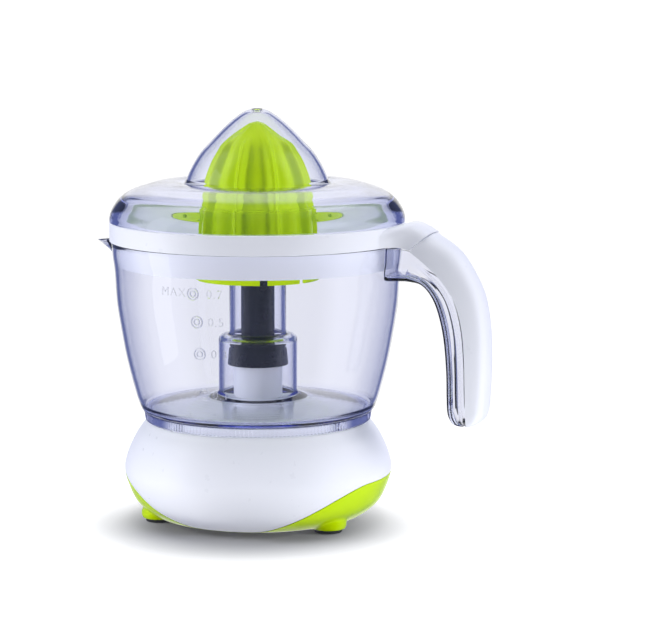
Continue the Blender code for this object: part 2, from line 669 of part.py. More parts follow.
def jug_outline(angle):
    """The jug's section: wall with its spout, foot ring and domed floor."""
    inside = inset(JUG_OUTLINE[:-2], JUG_WALL)
    inside[0] = (inside[0][0], JUG_OUTLINE[0][1])
    wall = JUG_OUTLINE + [(56.2, 52.4), (56.2, 57.3)]
    floor = [(24.5, 62.6), (CHIMNEY_RADIUS + GAP, 63.0), (CHIMNEY_RADIUS + GAP, 65.0),
             (23.4, 64.7), (57.0, 59.3)]
    section = wall + floor + inside[::-1]
    shifted = []
    for radius, height in section:
        out, down = spout_shift(angle, height) if radius > 30.0 else (0.0, 0.0)
        shifted.append((radius + out, height - down))
    return shifted


def between(start, end, share):
    """The point at a share of the way between two points."""
    return tuple(a + (b - a) * share for a, b in zip(start, end))


def handle_section(side, back, outline):
    """A handle section: (share from side to back, y) points as places in space."""
    section = []
    for share, y in outline:
        radius, height = between(side, back, share)
        section.append((radius, y, height))
    return section


def jug(axis):
    """Clear jug without its chimney and handle."""
    return swept("jug", jug_outline, finish("jug", CLEAR, 0.08, alpha=0.35), axis)


def jug_chimney(axis):
    """Clear stepped tube in the jug's floor, wide over the tower and narrow around the shaft."""
    wide, narrow = CHIMNEY_RADIUS, NECK_RADIUS
    return turned("jug_chimney", [
        (wide - JUG_WALL, 63.4), (wide - JUG_WALL, 93.4), (wide - 3.3, 95.0),
        (narrow - JUG_WALL, 95.4), (narrow - JUG_WALL, 146.0), (narrow, 146.0), (narrow, 97.0),
        (wide - 1.6, 96.6), (wide, 94.8), (wide, 63.4)],
        finish("jug_chimney", CLEAR, 0.08, alpha=0.35), axis, 32)


def jug_handle(axis):
    """Clear inner half of the handle, against the jug's wall."""
    look = finish("jug_handle", CLEAR, 0.08, alpha=0.35)
    sections = []
    root = [((73.2, 128.2), (73.8, 136.5), (74.4, 145.2)),
            ((80.0, 128.5), (81.5, 136.5), (82.5, 144.8))]
    rows = []
    for grip, seam, back in zip(GRIP_SIDE, SEAM_SIDE, BACK_SIDE):
        reach = 0.33 if rows else 0.06
        rows.append((grip, between(seam, grip, 0.03), between(seam, back, reach)))
    for grip, seam, tongue in root + rows[:-1]:
        wide, narrow = 11.6, 9.3
        sections.append([(grip[0], -wide, grip[1]), (seam[0], -wide, seam[1]),
                         (seam[0], -narrow, seam[1]), (tongue[0], -narrow, tongue[1]),
                         (tongue[0], narrow, tongue[1]), (seam[0], narrow, seam[1]),
                         (seam[0], wide, seam[1]), (grip[0], wide, grip[1])])
    bore = turned("bore", [(0.0, 146.0), *[(radius + GAP, height) for radius, height in JUG_OUTLINE[:3]],
                           (0.0, 106.0)], look, axis, SEGMENTS)
    return cut(lofted("jug_handle", sections, look, axis), [bore])


def handle_cover(axis):
    """White outer half of the handle, a channel that closes over the clear inner half."""
    look = finish("handle_cover", WHITE, 0.18)
    half = HANDLE_HALF_WIDTH
    outside = [(0.0, -half), (0.5, -half), (0.84, -half + 2.6), (1.0, -half + 7.5)]
    inside = [(0.0, -half + 2.0), (0.44, -half + 2.0), (0.66, -half + 4.4), (0.8, -half + 8.0)]
    outline = outside + [(share, -y) for share, y in reversed(outside)]
    outline += [(share, -y) for share, y in inside] + inside[::-1]
    sections = [handle_section(seam, back, outline) for seam, back in zip(SEAM_SIDE, BACK_SIDE)]
    return lofted("handle_cover", sections[:-1], look, axis)


def collector_ring(axis):
    """White ring on the jug's rim, with a skirt and funnel inside the jug and a tab to the handle."""
    look = finish("collector_ring", WHITE, 0.18)
    piece = turned("collector_ring", [
        (RING_RADIUS, RING_TOP - 0.6), (RING_RADIUS, RING_BOTTOM), (SKIRT_RADIUS, RING_BOTTOM),
        (SKIRT_RADIUS, SKIRT_BOTTOM), (SKIRT_RADIUS - 1.8, SKIRT_BOTTOM),
        (SKIRT_RADIUS - 1.8, 148.3), (FUNNEL_RADIUS, 138.6), (LEDGE_RADIUS, 137.2),
        (LEDGE_RADIUS, 138.9), (FUNNEL_RADIUS, 140.3), (FUNNEL_RADIUS, 142.2), (67.4, 150.8),
        (67.4, RING_TOP - 0.8), (68.2, RING_TOP), (RING_RADIUS - 0.6, RING_TOP)],
        look, axis, SEGMENTS)
    stations = [((74.6, 146.1), (74.6, 155.5), 17.0), ((79.0, 146.1), (80.5, 157.2), 14.0),
                ((83.0, 145.8), (87.0, 158.0), 12.4), ((86.6, 144.9), (96.7, 153.4), 12.0)]
    sections = []
    for bottom, top, half in stations:
        outline = [(0.0, -half), (0.7, -half), (0.93, -half + 2.6), (1.0, -half + 7.0)]
        outline += [(share, -y) for share, y in reversed(outline)]
        sections.append(handle_section(bottom, top, outline))
    return joined(piece, [lofted("tab", sections, look, axis)])


# Strainer, cone and lid

def strainer(axis):
    """Green bowl in the funnel, with radial slots, a drip lip and a hub around the chimney."""
    look = finish("strainer", LIME, 0.25)
    edge = FUNNEL_RADIUS - GAP
    piece = turned("strainer", [
        (edge, 142.0), (edge, 140.5), (33.0, 131.5), (32.2, 125.8), (30.4, 125.8),
        (30.4, 130.6), (17.0, 130.6), (17.0, 127.0), (15.2, 127.0), (15.2, 145.0),
        (17.0, 145.0), (17.0, 132.2), (32.4, 132.8)], look, axis, SEGMENTS)
    holes = []
    for i in range(SLOTS):
        slot = block("slot", (36.5, -1.1, 110.0), (LEDGE_RADIUS - 1.0, 1.1, 152.0), look, axis)
        slot.rotation_euler = (0.0, 0.0, math.tau * (i + 0.5) / SLOTS)
        holes.append(slot)
    for third in range(3):
        for offset in NOTCH_ANGLES:
            notch = block("notch", (29.0, -2.0, 120.0), (34.0, 2.0, 129.0), look, axis)
            notch.rotation_euler = (0.0, 0.0, math.radians(FRONT + offset + 120 * third))
            holes.append(notch)
    return cut(piece, holes)


def cone_outline(angle):
    """The cone's section: fluted outside, hollow inside, with a solid hub on the axis."""
    flute = 0.5 + 0.5 * math.cos(FLUTES * (angle - math.radians(FRONT)))
    outside = []
    for radius, height in CONE_OUTLINE:
        share = smooth_step((CONE_OUTLINE[0][1] - height) / 20.0)
        outside.append((radius - 2.0 * flute * share, height))
    inside = [(29.2, 133.8), (28.0, 149.7), (25.2, 170.0), (21.0, 183.0), (9.4, 197.4)]
    return outside + inside + [(9.4, 148.6), (0.0, 148.6)]


def cone(axis):
    """Green squeezing cone with a hexagonal socket for the spindle's dog."""
    look = finish("cone", LIME, 0.22)
    piece = swept("cone", cone_outline, look, axis, 6 * FLUTES)
    return cut(piece, [prism("socket", hexagon(DOG_APOTHEM + 0.4), 140.0, 162.0, look, axis)])


def lid(axis):
    """Clear domed lid with a vent hole at its top."""
    look = finish("lid", CLEAR, 0.08, alpha=0.35)
    outside = LID_DOME + LID_BRIM
    inside = inset(outside, LID_WALL)
    inside[0] = (LID_DOME[0][0], inside[0][1])
    inside[-1] = (RING_RADIUS - LID_WALL, LID_BRIM[-1][1])
    return turned("lid", outside + inside[::-1], look, axis, SEGMENTS)


def build():
    """Build the whole juicer in an empty scene."""
    for old in list(bpy.data.objects):
        bpy.data.objects.remove(old)
    axis = axis_at("drive_axis", (AXIS_X, 0.0, 0.0))
    gearbox = axis_at("gearbox_frame", (0.0, 0.0, 0.0), axis, DRIVE_TURN)
    rotor_axis = axis_at("rotor_axis", (ROTOR_X, 0.0, 0.0), gearbox)
    idler_axis = axis_at("idler_axis", (IDLER_X, IDLER_Y, 0.0), gearbox)

    base_housing(axis)
    spindle_tower(axis)
    base_bottom_cover(axis)
    cord_gland(axis)
    foot_pads(axis)
    for i, angle in enumerate(POST_ANGLES):
        screw(f"cover_screw_{i + 1}", on_circle(POST_RADIUS, angle), 3.0, 1.3, 2.3, 3.1, 15.5, axis)
    for i, angle in enumerate(PILLAR_ANGLES):
        screw(f"gearbox_screw_{i + 1}", on_circle(PILLAR_RADIUS, angle), 2.6, 1.2, 25.9, 27.7,
              51.0, gearbox)

    chassis_plate(gearbox)
    gearbox_cover(gearbox)
    motor(gearbox, rotor_axis)
    idler(idler_axis)
    output_gear(gearbox)
    press_parts(gearbox)
    drive_spindle(gearbox)

    jug(axis)
    jug_chimney(axis)
    jug_handle(axis)
    handle_cover(axis)
    collector_ring(axis)
    strainer(axis)
    cone(axis)
    lid(axis)


build()
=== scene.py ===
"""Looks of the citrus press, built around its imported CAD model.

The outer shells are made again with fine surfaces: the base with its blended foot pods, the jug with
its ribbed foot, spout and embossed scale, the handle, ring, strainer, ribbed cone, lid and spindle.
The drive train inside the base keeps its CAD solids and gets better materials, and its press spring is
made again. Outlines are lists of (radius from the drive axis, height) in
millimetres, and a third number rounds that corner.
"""

import json
import math

import bmesh
import bpy
import numpy as np
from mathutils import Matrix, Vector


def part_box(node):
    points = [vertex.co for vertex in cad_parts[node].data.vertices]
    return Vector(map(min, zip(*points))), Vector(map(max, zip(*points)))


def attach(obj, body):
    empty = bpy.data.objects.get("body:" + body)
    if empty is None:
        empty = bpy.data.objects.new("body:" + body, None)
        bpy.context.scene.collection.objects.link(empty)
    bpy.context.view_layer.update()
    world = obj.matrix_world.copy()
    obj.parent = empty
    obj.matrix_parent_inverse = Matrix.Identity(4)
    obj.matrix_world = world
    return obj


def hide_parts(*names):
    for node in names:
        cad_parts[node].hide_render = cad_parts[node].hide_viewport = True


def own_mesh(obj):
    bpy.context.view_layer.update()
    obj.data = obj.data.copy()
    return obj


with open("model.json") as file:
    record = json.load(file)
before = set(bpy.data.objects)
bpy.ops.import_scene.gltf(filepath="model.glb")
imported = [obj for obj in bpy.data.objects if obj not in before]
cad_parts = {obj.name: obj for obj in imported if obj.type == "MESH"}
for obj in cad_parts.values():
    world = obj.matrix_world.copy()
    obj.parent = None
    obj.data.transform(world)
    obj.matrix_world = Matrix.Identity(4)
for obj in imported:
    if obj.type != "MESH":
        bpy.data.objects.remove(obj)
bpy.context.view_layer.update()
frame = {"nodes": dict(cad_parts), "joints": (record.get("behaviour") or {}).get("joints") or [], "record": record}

MM = 0.001
JOINTS = {joint["name"]: joint for joint in frame["joints"]}
AXIS_X, AXIS_Y = JOINTS["cone_spin"]["pos_m"][:2]


def height_of(node, end):
    """The lowest (0) or highest (1) point of a CAD node, in millimetres."""
    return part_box(node)[end].z / MM


def reach_of(node):
    """The largest distance of a CAD node from the drive axis along Y, in millimetres."""
    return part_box(node)[1].y / MM


# Places that the frame gives
RING_RADIUS = reach_of("collector_ring")
LID_BOTTOM = height_of("lid", 0)
CONE_TOP = height_of("cone", 1)
TOWER_TOP = height_of("spindle_tower", 1)
SPOUT_REACH = (AXIS_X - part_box("jug")[0].x) / MM

# Viewing direction of the camera and the base's front, degrees about the drive axis
CAMERA_TURN = 21.0
CAMERA_FRONT = CAMERA_TURN - 90.0
FRONT = -85.0

# Base
BASE_OUTLINE = [(58.3, 52.1), (59.3, 50.6), (63.4, 44.9), (67.7, 36.0), (69.8, 27.5),
                (68.1, 19.5), (63.8, 10.5), (56.5, 4.3), (50.0, 2.2)]
BASE_WALL = 2.2
DECK_TOP = 52.1
SEAT_TOP = 56.6
SEAM_HALF = 0.16
FOOT_RADIUS = 52.8
FOOT_ANGLES = [FRONT + 60.0, FRONT - 60.0, FRONT + 180.0]
POD_OUTLINE = [(0.0, 11.5), (4.5, 10.4), (7.8, 8.2), (9.3, 5.4), (9.2, 3.4), (8.4, 1.7)]
POD_BLEND = 2.2
POST_RADIUS = 46.5
POST_ANGLES = [FRONT, FRONT + 120.0, FRONT - 120.0]

# Jug
JUG_OUTLINE = [(75.4, 145.6), (75.0, 138.0), (74.0, 130.0), (73.0, 114.0), (70.7, 98.4), (67.7, 82.5),
               (63.7, 66.7), (61.9, 61.4), (60.8, 58.7)]
JUG_WALL = 1.8
FOOT_RIBS = 175
RIB_DEPTH = 0.7
SPOUT_HALF_ANGLE = 14.0
SPOUT_START = 127.0
SPOUT_DROP = 3.2

# Handle, as (radius, height) on its grip side, its seam and its back
GRIP_SIDE = [(84.0, 128.6), (92.0, 127.3), (97.5, 122.0), (101.3, 113.5), (104.2, 101.0),
             (105.8, 85.0), (106.2, 71.0), (106.6, 64.0), (107.6, 60.2), (109.8, 57.3), (113.2, 56.1)]
SEAM_SIDE = [(86.9, 144.4), (98.3, 135.6), (106.0, 127.5), (111.5, 118.3), (115.4, 103.0),
             (116.4, 86.0), (116.8, 71.0), (117.0, 64.0), (117.1, 60.0), (117.1, 57.4), (117.0, 56.0)]
BACK_SIDE = [(97.0, 152.9), (109.2, 144.7), (117.3, 133.4), (123.0, 120.5), (125.6, 104.0),
             (126.0, 86.0), (125.4, 72.5), (124.8, 65.0), (123.6, 60.6), (121.4, 57.6), (118.2, 56.1)]
HANDLE_WIDTHS = [1.0, 1.0, 1.0, 1.0, 1.0, 1.0, 1.0, 1.0, 0.97, 0.88, 0.62]
HANDLE_HALF_WIDTH = 12.0
HANDLE_WALL = 2.0
HANDLE_STEPS = 7

# Cone
CONE_OUTLINE = [(0.0, 206.6), (3.9, 205.5), (8.8, 202.6), (14.1, 198.9), (19.2, 194.2), (22.9, 188.6),
                (25.4, 183.4), (27.4, 178.0), (28.3, 174.0), (29.3, 166.0), (29.6, 162.0)]
RIDGES = 9
MAIN_RIDGE = CAMERA_FRONT + 20.0

LID_DOME = [(2.6, 213.4), (6.0, 212.4), (10.1, 209.8), (14.2, 206.5), (19.0, 202.0), (23.9, 196.8),
            (28.4, 192.1), (32.4, 186.2), (35.3, 180.6), (36.9, 176.4)]
LID_BRIM = [(38.2, 175.2), (42.5, 176.2), (51.6, 175.8), (59.8, 173.6), (65.8, 171.4), (70.8, 168.0),
            (73.5, 164.7), (75.4, 161.4), (76.4, 158.2), (76.5, 156.0)]
LID_WALL = 1.8
RIM_TOP = 169.0
RIM_THICKENING = 2.4


# Outlines

def smooth_curve(points, steps):
    """Points along a Catmull-Rom curve through the given points."""
    ends = [points[0], *points, points[-1]]
    curve = []
    for a, b, c, d in zip(ends, ends[1:], ends[2:], ends[3:]):
        for i in range(steps):
            t = i / steps
            curve.append(tuple(
                0.5 * (2 * q + (r - p) * t + (2 * p - 5 * q + 4 * r - s) * t ** 2
                       + (3 * q - p - 3 * r + s) * t ** 3)
                for p, q, r, s in zip(a, b, c, d)))
    curve.append(tuple(points[-1]))
    return curve


def rounded(outline, steps=5):
    """Round the corners of a closed outline that have a third number, the length cut off each side."""
    curve = []
    for i, corner in enumerate(outline):
        if len(corner) == 2:
            curve.append(corner)
            continue
        here = np.array(corner[:2])
        ends = []
        for other in (outline[i - 1], outline[(i + 1) % len(outline)]):
            side = np.array(other[:2]) - here
            length = np.linalg.norm(side)
            ends.append(here + side / length * min(corner[2], 0.49 * length))
        for j in range(steps + 1):
            t = j / steps
            point = (1 - t) ** 2 * ends[0] + 2 * t * (1 - t) * here + t ** 2 * ends[1]
            curve.append((float(point[0]), float(point[1])))
    return curve


def inset(curve, depth):
    """Move an outline, listed from top to bottom on its outer side, into its wall."""
    moved = []
    for i, (radius, height) in enumerate(curve):
        before = curve[max(i - 1, 0)]
        after = curve[min(i + 1, len(curve) - 1)]
        run = math.dist(before, after)
        moved.append((radius + depth * (after[1] - before[1]) / run,
                      height - depth * (after[0] - before[0]) / run))
    return moved


def smooth_step(value):
    """Rise from 0 to 1 with a level start and end."""
    t = min(max(value, 0.0), 1.0)
    return t * t * (3 - 2 * t)


def smooth_max(a, b, blend):
    """The larger of two values, with a soft change from one to the other."""
    overlap = max(blend - abs(a - b), 0.0) / blend
    return max(a, b) + overlap * overlap * blend / 4


def turn_from(angle, degrees):
    """How far an angle in radians lies from a direction in degrees, in signed degrees."""
    return math.degrees(math.remainder(angle - math.radians(degrees), math.tau))


def on_circle(radius, degrees, height=0.0):
    """A point at a radius and an angle about the drive axis."""
    angle = math.radians(degrees)
    return (radius * math.cos(angle), radius * math.sin(angle), height)


# Meshes

def piece_of(name, bm, look, sharp=35.0):
    """Make an object of a mesh in millimetres about the drive axis."""
    bmesh.ops.remove_doubles(bm, verts=bm.verts, dist=0.0005)
    wires = [edge for edge in bm.edges if edge.is_wire]
    bmesh.ops.delete(bm, geom=wires, context='EDGES')
    bmesh.ops.recalc_face_normals(bm, faces=bm.faces)
    bmesh.ops.scale(bm, vec=(MM, MM, MM), verts=bm.verts)
    bmesh.ops.translate(bm, vec=(AXIS_X, AXIS_Y, 0.0), verts=bm.verts)
    mesh = bpy.data.meshes.new(name)
    bm.to_mesh(mesh)
    bm.free()
    mesh.materials.append(look)
    mesh.shade_smooth()
    mesh.set_sharp_from_angle(angle=math.radians(sharp))
    piece = bpy.data.objects.new(name, mesh)
    bpy.context.scene.collection.objects.link(piece)
    return piece


def skin(name, loops, look, ring=False, sharp=35.0):
    """Skin a row of closed loops of points. A ring joins its last loop to its first."""
    bm = bmesh.new()
    rows = [[bm.verts.new(point) for point in loop] for loop in loops]
    following = rows[1:] + rows[:1] if ring else rows[1:]
    for row, after in zip(rows, following):
        for j, corner in enumerate(row):
            k = (j + 1) % len(row)
            bm.faces.new((corner, row[k], after[k], after[j]))
    if not ring:
        bm.faces.new(rows[0])
        bm.faces.new(rows[-1])
    return piece_of(name, bm, look, sharp)


def turned(name, outline_at, look, segments=192, sharp=35.0):
    """Turn a closed (radius, height) outline about the drive axis; it may change with the angle."""
    loops = []
    for i in range(segments):
        angle = math.tau * i / segments
        outline = outline_at(angle) if callable(outline_at) else outline_at
        loops.append([(radius * math.cos(angle), radius * math.sin(angle), height)
                      for radius, height in outline])
    return skin(name, loops, look, ring=True, sharp=sharp)


def moved(piece, place):
    """Shift a piece's mesh by a (x, y, z) in millimetres."""
    shift = [value * MM for value in place]
    for vertex in piece.data.vertices:
        vertex.co.x += shift[0]
        vertex.co.y += shift[1]
        vertex.co.z += shift[2]
    return piece


def slab(name, low, high, turn, look):
    """A block between two corners, turned about the drive axis by some degrees."""
    angle = math.radians(turn)
    loops = []
    for height in (low[2], high[2]):
        corners = [(low[0], low[1]), (high[0], low[1]), (high[0], high[1]), (low[0], high[1])]
        loops.append([(x * math.cos(angle) - y * math.sin(angle),
                       x * math.sin(angle) + y * math.cos(angle), height) for x, y in corners])
    return skin(name, loops, look)


def reworked(piece, tools, operation, sharp=35.0):
    """Join the tools to a piece, or cut them out of it, and use the tools up."""
    for tool in tools:
        change = piece.modifiers.new("rework", 'BOOLEAN')
        change.operation = operation
        change.object = tool
    bpy.context.view_layer.update()
    view = bpy.context.evaluated_depsgraph_get()
    mesh = bpy.data.meshes.new_from_object(piece.evaluated_get(view))
    look = piece.data.materials[0]
    mesh.materials.clear()
    mesh.materials.append(look)
    piece.modifiers.clear()
    piece.data = mesh
    mesh.shade_smooth()
    mesh.set_sharp_from_angle(angle=math.radians(sharp))
    for tool in tools:
        bpy.data.objects.remove(tool)
    return piece


def placed(piece, body, slot, *nodes):
    """Let a piece ride on a body and stand for CAD nodes, which it hides. The slot is not used."""
    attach(piece, body)
    if nodes:
        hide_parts(*nodes)
    return piece


def let_light_in(piece):
    """Keep a clear piece from shading what is inside it."""
    piece.visible_shadow = False
    piece.visible_diffuse = False
    return piece


# Materials

def new_look(name):
    """A material with its node tree and Principled shader."""
    look = bpy.data.materials.new(name)
    look.use_nodes = True
    return look, look.node_tree, look.node_tree.nodes["Principled BSDF"]


def noise(tree, scale, detail=3.0, stretch=(1.0, 1.0, 1.0)):
    """A noise texture in object space. The scale is in features per metre."""
    place = tree.nodes.new("ShaderNodeTexCoord")
    fit = tree.nodes.new("ShaderNodeMapping")
    fit.inputs["Scale"].default_value = stretch
    texture = tree.nodes.new("ShaderNodeTexNoise")
    texture.inputs["Scale"].default_value = scale
    texture.inputs["Detail"].default_value = detail
    tree.links.new(place.outputs["Object"], fit.inputs["Vector"])
    tree.links.new(fit.outputs["Vector"], texture.inputs["Vector"])
    return texture.outputs["Fac"]


def ranged(tree, value, low, high):
    """Map a 0 to 1 value to a range."""
    node = tree.nodes.new("ShaderNodeMapRange")
    node.inputs["From Min"].default_value = 0.3
    node.inputs["From Max"].default_value = 0.7
    node.inputs["To Min"].default_value = low
    node.inputs["To Max"].default_value = high
    tree.links.new(value, node.inputs["Value"])
    return node.outputs["Result"]


def blended(tree, value, first, second):
    """Mix two colours by a 0 to 1 value."""
    node = tree.nodes.new("ShaderNodeMix")
    node.data_type = 'RGBA'
    node.inputs["A"].default_value = (*first, 1.0)
    node.inputs["B"].default_value = (*second, 1.0)
    tree.links.new(value, node.inputs["Factor"])
    return node.outputs["Result"]


def bumped(tree, shader, value, distance, strength=1.0):
    """Add a bump of some height, in metres, to a shader."""
    node = tree.nodes.new("ShaderNodeBump")
    node.inputs["Strength"].default_value = strength
    node.inputs["Distance"].default_value = distance
    tree.links.new(value, node.inputs["Height"])
    tree.links.new(node.outputs["Normal"], shader.inputs["Normal"])


def moulded(name, light, dark, roughness, shine=0.4, tint=(1.0, 1.0, 1.0), glow=0.0, peel=0.00001,
            grain=900.0):
    """Moulded plastic: slow colour drift, uneven gloss and a fine orange-peel surface."""
    look, tree, shader = new_look(name)
    drift = ranged(tree, noise(tree, 28.0, 2.0), 0.0, 1.0)
    tree.links.new(blended(tree, drift, light, dark), shader.inputs["Base Color"])
    gloss = ranged(tree, noise(tree, 160.0, 3.0), roughness * 0.85, roughness * 1.2)
    tree.links.new(gloss, shader.inputs["Roughness"])
    shader.inputs["Specular IOR Level"].default_value = shine
    shader.inputs["Specular Tint"].default_value = (*tint, 1.0)
    shader.inputs["Subsurface Weight"].default_value = glow
    shader.inputs["Subsurface Radius"].default_value = (1.0, 1.0, 0.4)
    shader.inputs["Subsurface Scale"].default_value = 0.003
    bumped(tree, shader, noise(tree, grain, 2.0), peel)
    return look


def clear(name, absorb, density, roughness=0.015):
    """Clear plastic that takes a deeper colour where the eye looks along it."""
    look, tree, shader = new_look(name)
    shader.inputs["Base Color"].default_value = (1.0, 1.0, 1.0, 1.0)
    shader.inputs["Transmission Weight"].default_value = 1.0
    shader.inputs["IOR"].default_value = 1.49
    gloss = ranged(tree, noise(tree, 90.0, 2.0), roughness * 0.5, roughness * 1.5)
    tree.links.new(gloss, shader.inputs["Roughness"])
    bumped(tree, shader, noise(tree, 45.0, 1.0), 0.00003)
    depth = tree.nodes.new("ShaderNodeVolumeAbsorption")
    depth.inputs["Color"].default_value = (*absorb, 1.0)
    depth.inputs["Density"].default_value = density
    tree.links.new(depth.outputs["Volume"], tree.nodes["Material Output"].inputs["Volume"])
    return look


def metal(name, light, dark, roughness, stretch=(1.0, 1.0, 1.0), grain=700.0):
    """Metal with fine drawn or turned streaks and an uneven finish."""
    look, tree, shader = new_look(name)
    streaks = noise(tree, grain, 4.0, stretch)
    tree.links.new(blended(tree, ranged(tree, streaks, 0.0, 1.0), light, dark),
                   shader.inputs["Base Color"])
    tree.links.new(ranged(tree, streaks, roughness * 0.7, roughness * 1.4), shader.inputs["Roughness"])
    shader.inputs["Metallic"].default_value = 1.0
    bumped(tree, shader, streaks, 0.00001)
    return look


def striped(name, light, dark, roughness, pitch, metallic):
    """Material in thin flat layers, such as core laminations or a winding."""
    look, tree, shader = new_look(name)
    place = tree.nodes.new("ShaderNodeTexCoord")
    wave = tree.nodes.new("ShaderNodeTexWave")
    wave.bands_direction = 'Z'
    wave.inputs["Scale"].default_value = 0.314 / pitch
    wave.inputs["Distortion"].default_value = 0.2
    tree.links.new(place.outputs["Object"], wave.inputs["Vector"])
    tree.links.new(blended(tree, wave.outputs["Fac"], light, dark), shader.inputs["Base Color"])
    rough = ranged(tree, noise(tree, 500.0), roughness * 0.8, roughness * 1.2)
    tree.links.new(rough, shader.inputs["Roughness"])
    shader.inputs["Metallic"].default_value = metallic
    bumped(tree, shader, wave.outputs["Fac"], 0.0001)
    return look


def make_looks():
    """One material for each of the record's slots."""
    return {
        "white_plastic": moulded("white_plastic", (0.79, 0.805, 0.88), (0.775, 0.795, 0.872), 0.32,
                                 shine=0.4, peel=0.000004),
        "lime_plastic": moulded("lime_plastic", (0.57, 0.78, 0.0), (0.49, 0.73, 0.0), 0.20,
                                shine=0.5, tint=(0.9, 1.0, 0.1)),
        "clear_plastic": clear("clear_plastic", (0.03, 0.13, 0.90), 42.0),
        "slate_plastic": moulded("slate_plastic", (0.010, 0.013, 0.024), (0.007, 0.010, 0.019), 0.24,
                                 shine=0.5, peel=0.000004),
        "black_plastic": moulded("black_plastic", (0.030, 0.030, 0.032), (0.020, 0.020, 0.022), 0.5,
                                 peel=0.00003),
        "natural_nylon": moulded("natural_nylon", (0.80, 0.77, 0.66), (0.74, 0.71, 0.60), 0.42,
                                 glow=0.1),
        "soft_rubber": moulded("soft_rubber", (0.045, 0.047, 0.050), (0.030, 0.031, 0.034), 0.75,
                               peel=0.00006, grain=1500.0),
        "bright_steel": metal("bright_steel", (0.70, 0.71, 0.72), (0.52, 0.53, 0.55), 0.25,
                              stretch=(1.0, 1.0, 6.0)),
        "core_steel": striped("core_steel", (0.30, 0.30, 0.32), (0.16, 0.16, 0.18), 0.45, 0.0005, 0.8),
        "copper_wire": striped("copper_wire", (0.70, 0.30, 0.12), (0.40, 0.14, 0.05), 0.3, 0.0004, 0.9),
        "sintered_bronze": metal("sintered_bronze", (0.60, 0.42, 0.20), (0.42, 0.28, 0.13), 0.45,
                                 grain=2500.0),
    }


# Base

def wave_height(angle):
    """Height of the line between the white housing and the green cover."""
    turn = abs(turn_from(angle, FRONT))
    rise = smooth_step((turn - 12.0) / 60.0)
    fall = smooth_step((turn - 72.0) / 108.0)
    return 2.7 + 22.5 * rise - 3.0 * fall


BASE_CURVE = smooth_curve(BASE_OUTLINE, 10)
BASE_HEIGHTS = [height for _, height in reversed(BASE_CURVE)]
BASE_RADII = [radius for radius, _ in reversed(BASE_CURVE)]
BASE_INNER = list(reversed(inset(BASE_CURVE, BASE_WALL)))


def base_wall(bottom, top, count, inner=False):
    """Points of the base's side wall from top to bottom, on its outer or inner side."""
    points = []
    for i in range(count, -1, -1):
        height = bottom + (top - bottom) * i / count
        place = np.interp(height, BASE_HEIGHTS, range(len(BASE_HEIGHTS)))
        line = BASE_INNER if inner else list(zip(BASE_RADII, BASE_HEIGHTS))
        radii, heights = zip(*line)
        points.append((float(np.interp(place, range(len(radii)), radii)),
                       float(np.interp(place, range(len(radii)), heights))))
    return points


def make_housing(looks):
    """White upper shell: side wall with a soft lower edge, and the seat for the jug."""
    inner_top = [(54.0, DECK_TOP - BASE_WALL), (53.2, SEAT_TOP - BASE_WALL), (13.0, SEAT_TOP - BASE_WALL)]
    outer_top = rounded([(13.0, SEAT_TOP), (55.4, SEAT_TOP, 0.8), (55.4, DECK_TOP, 0.5),
                         (58.3, DECK_TOP, 0.5)])

    def outline(angle):
        low = wave_height(angle) + SEAM_HALF
        outside = base_wall(low, DECK_TOP - 0.6, 44)
        edge_radius, edge = outside[-1]
        outside[-1:] = [(edge_radius, edge + 0.45), (edge_radius - 0.12, edge + 0.12),
                        (edge_radius - 0.45, edge)]
        inside = base_wall(low, DECK_TOP - 3.5, 12, inner=True)
        return outside + inside[::-1] + inner_top + outer_top[:-1]

    piece = turned("white_housing", outline, looks["white_plastic"], 360, sharp=40)
    return placed(piece, "base", "white_plastic", "base_housing")


def make_tower(looks):
    """White tube around the spindle's bearing, with a soft root on the seat."""
    outline = rounded([(8.0, TOWER_TOP, 0.4), (12.7, TOWER_TOP, 1.0), (12.7, SEAT_TOP + 0.3, 3.0),
                       (15.6, SEAT_TOP + 0.3), (15.6, SEAT_TOP + 0.05), (12.6, SEAT_TOP + 0.05),
                       (12.6, 53.0), (9.7, 53.0), (9.7, 76.0), (8.0, 77.6)])
    piece = turned("white_tower", outline, looks["white_plastic"], 128, sharp=40)
    return placed(piece, "base", "white_plastic", "spindle_tower")


def pod_reach(angle, height):
    """How far out the nearest foot pod reaches at an angle and a height."""
    radii, heights = zip(*POD_OUTLINE)
    radius = float(np.interp(height, heights[::-1], radii[::-1]))
    reach = 0.0
    for foot in FOOT_ANGLES:
        turn = math.radians(turn_from(angle, foot))
        if abs(turn) > 0.6:
            continue
        side = FOOT_RADIUS * math.sin(turn)
        inside = max(radius ** 2 - side ** 2, 0.0)
        past = max(abs(side) - radius, 0.0)
        reach = max(reach, FOOT_RADIUS * math.cos(turn) + math.sqrt(inside) - 1.5 * past)
    return reach


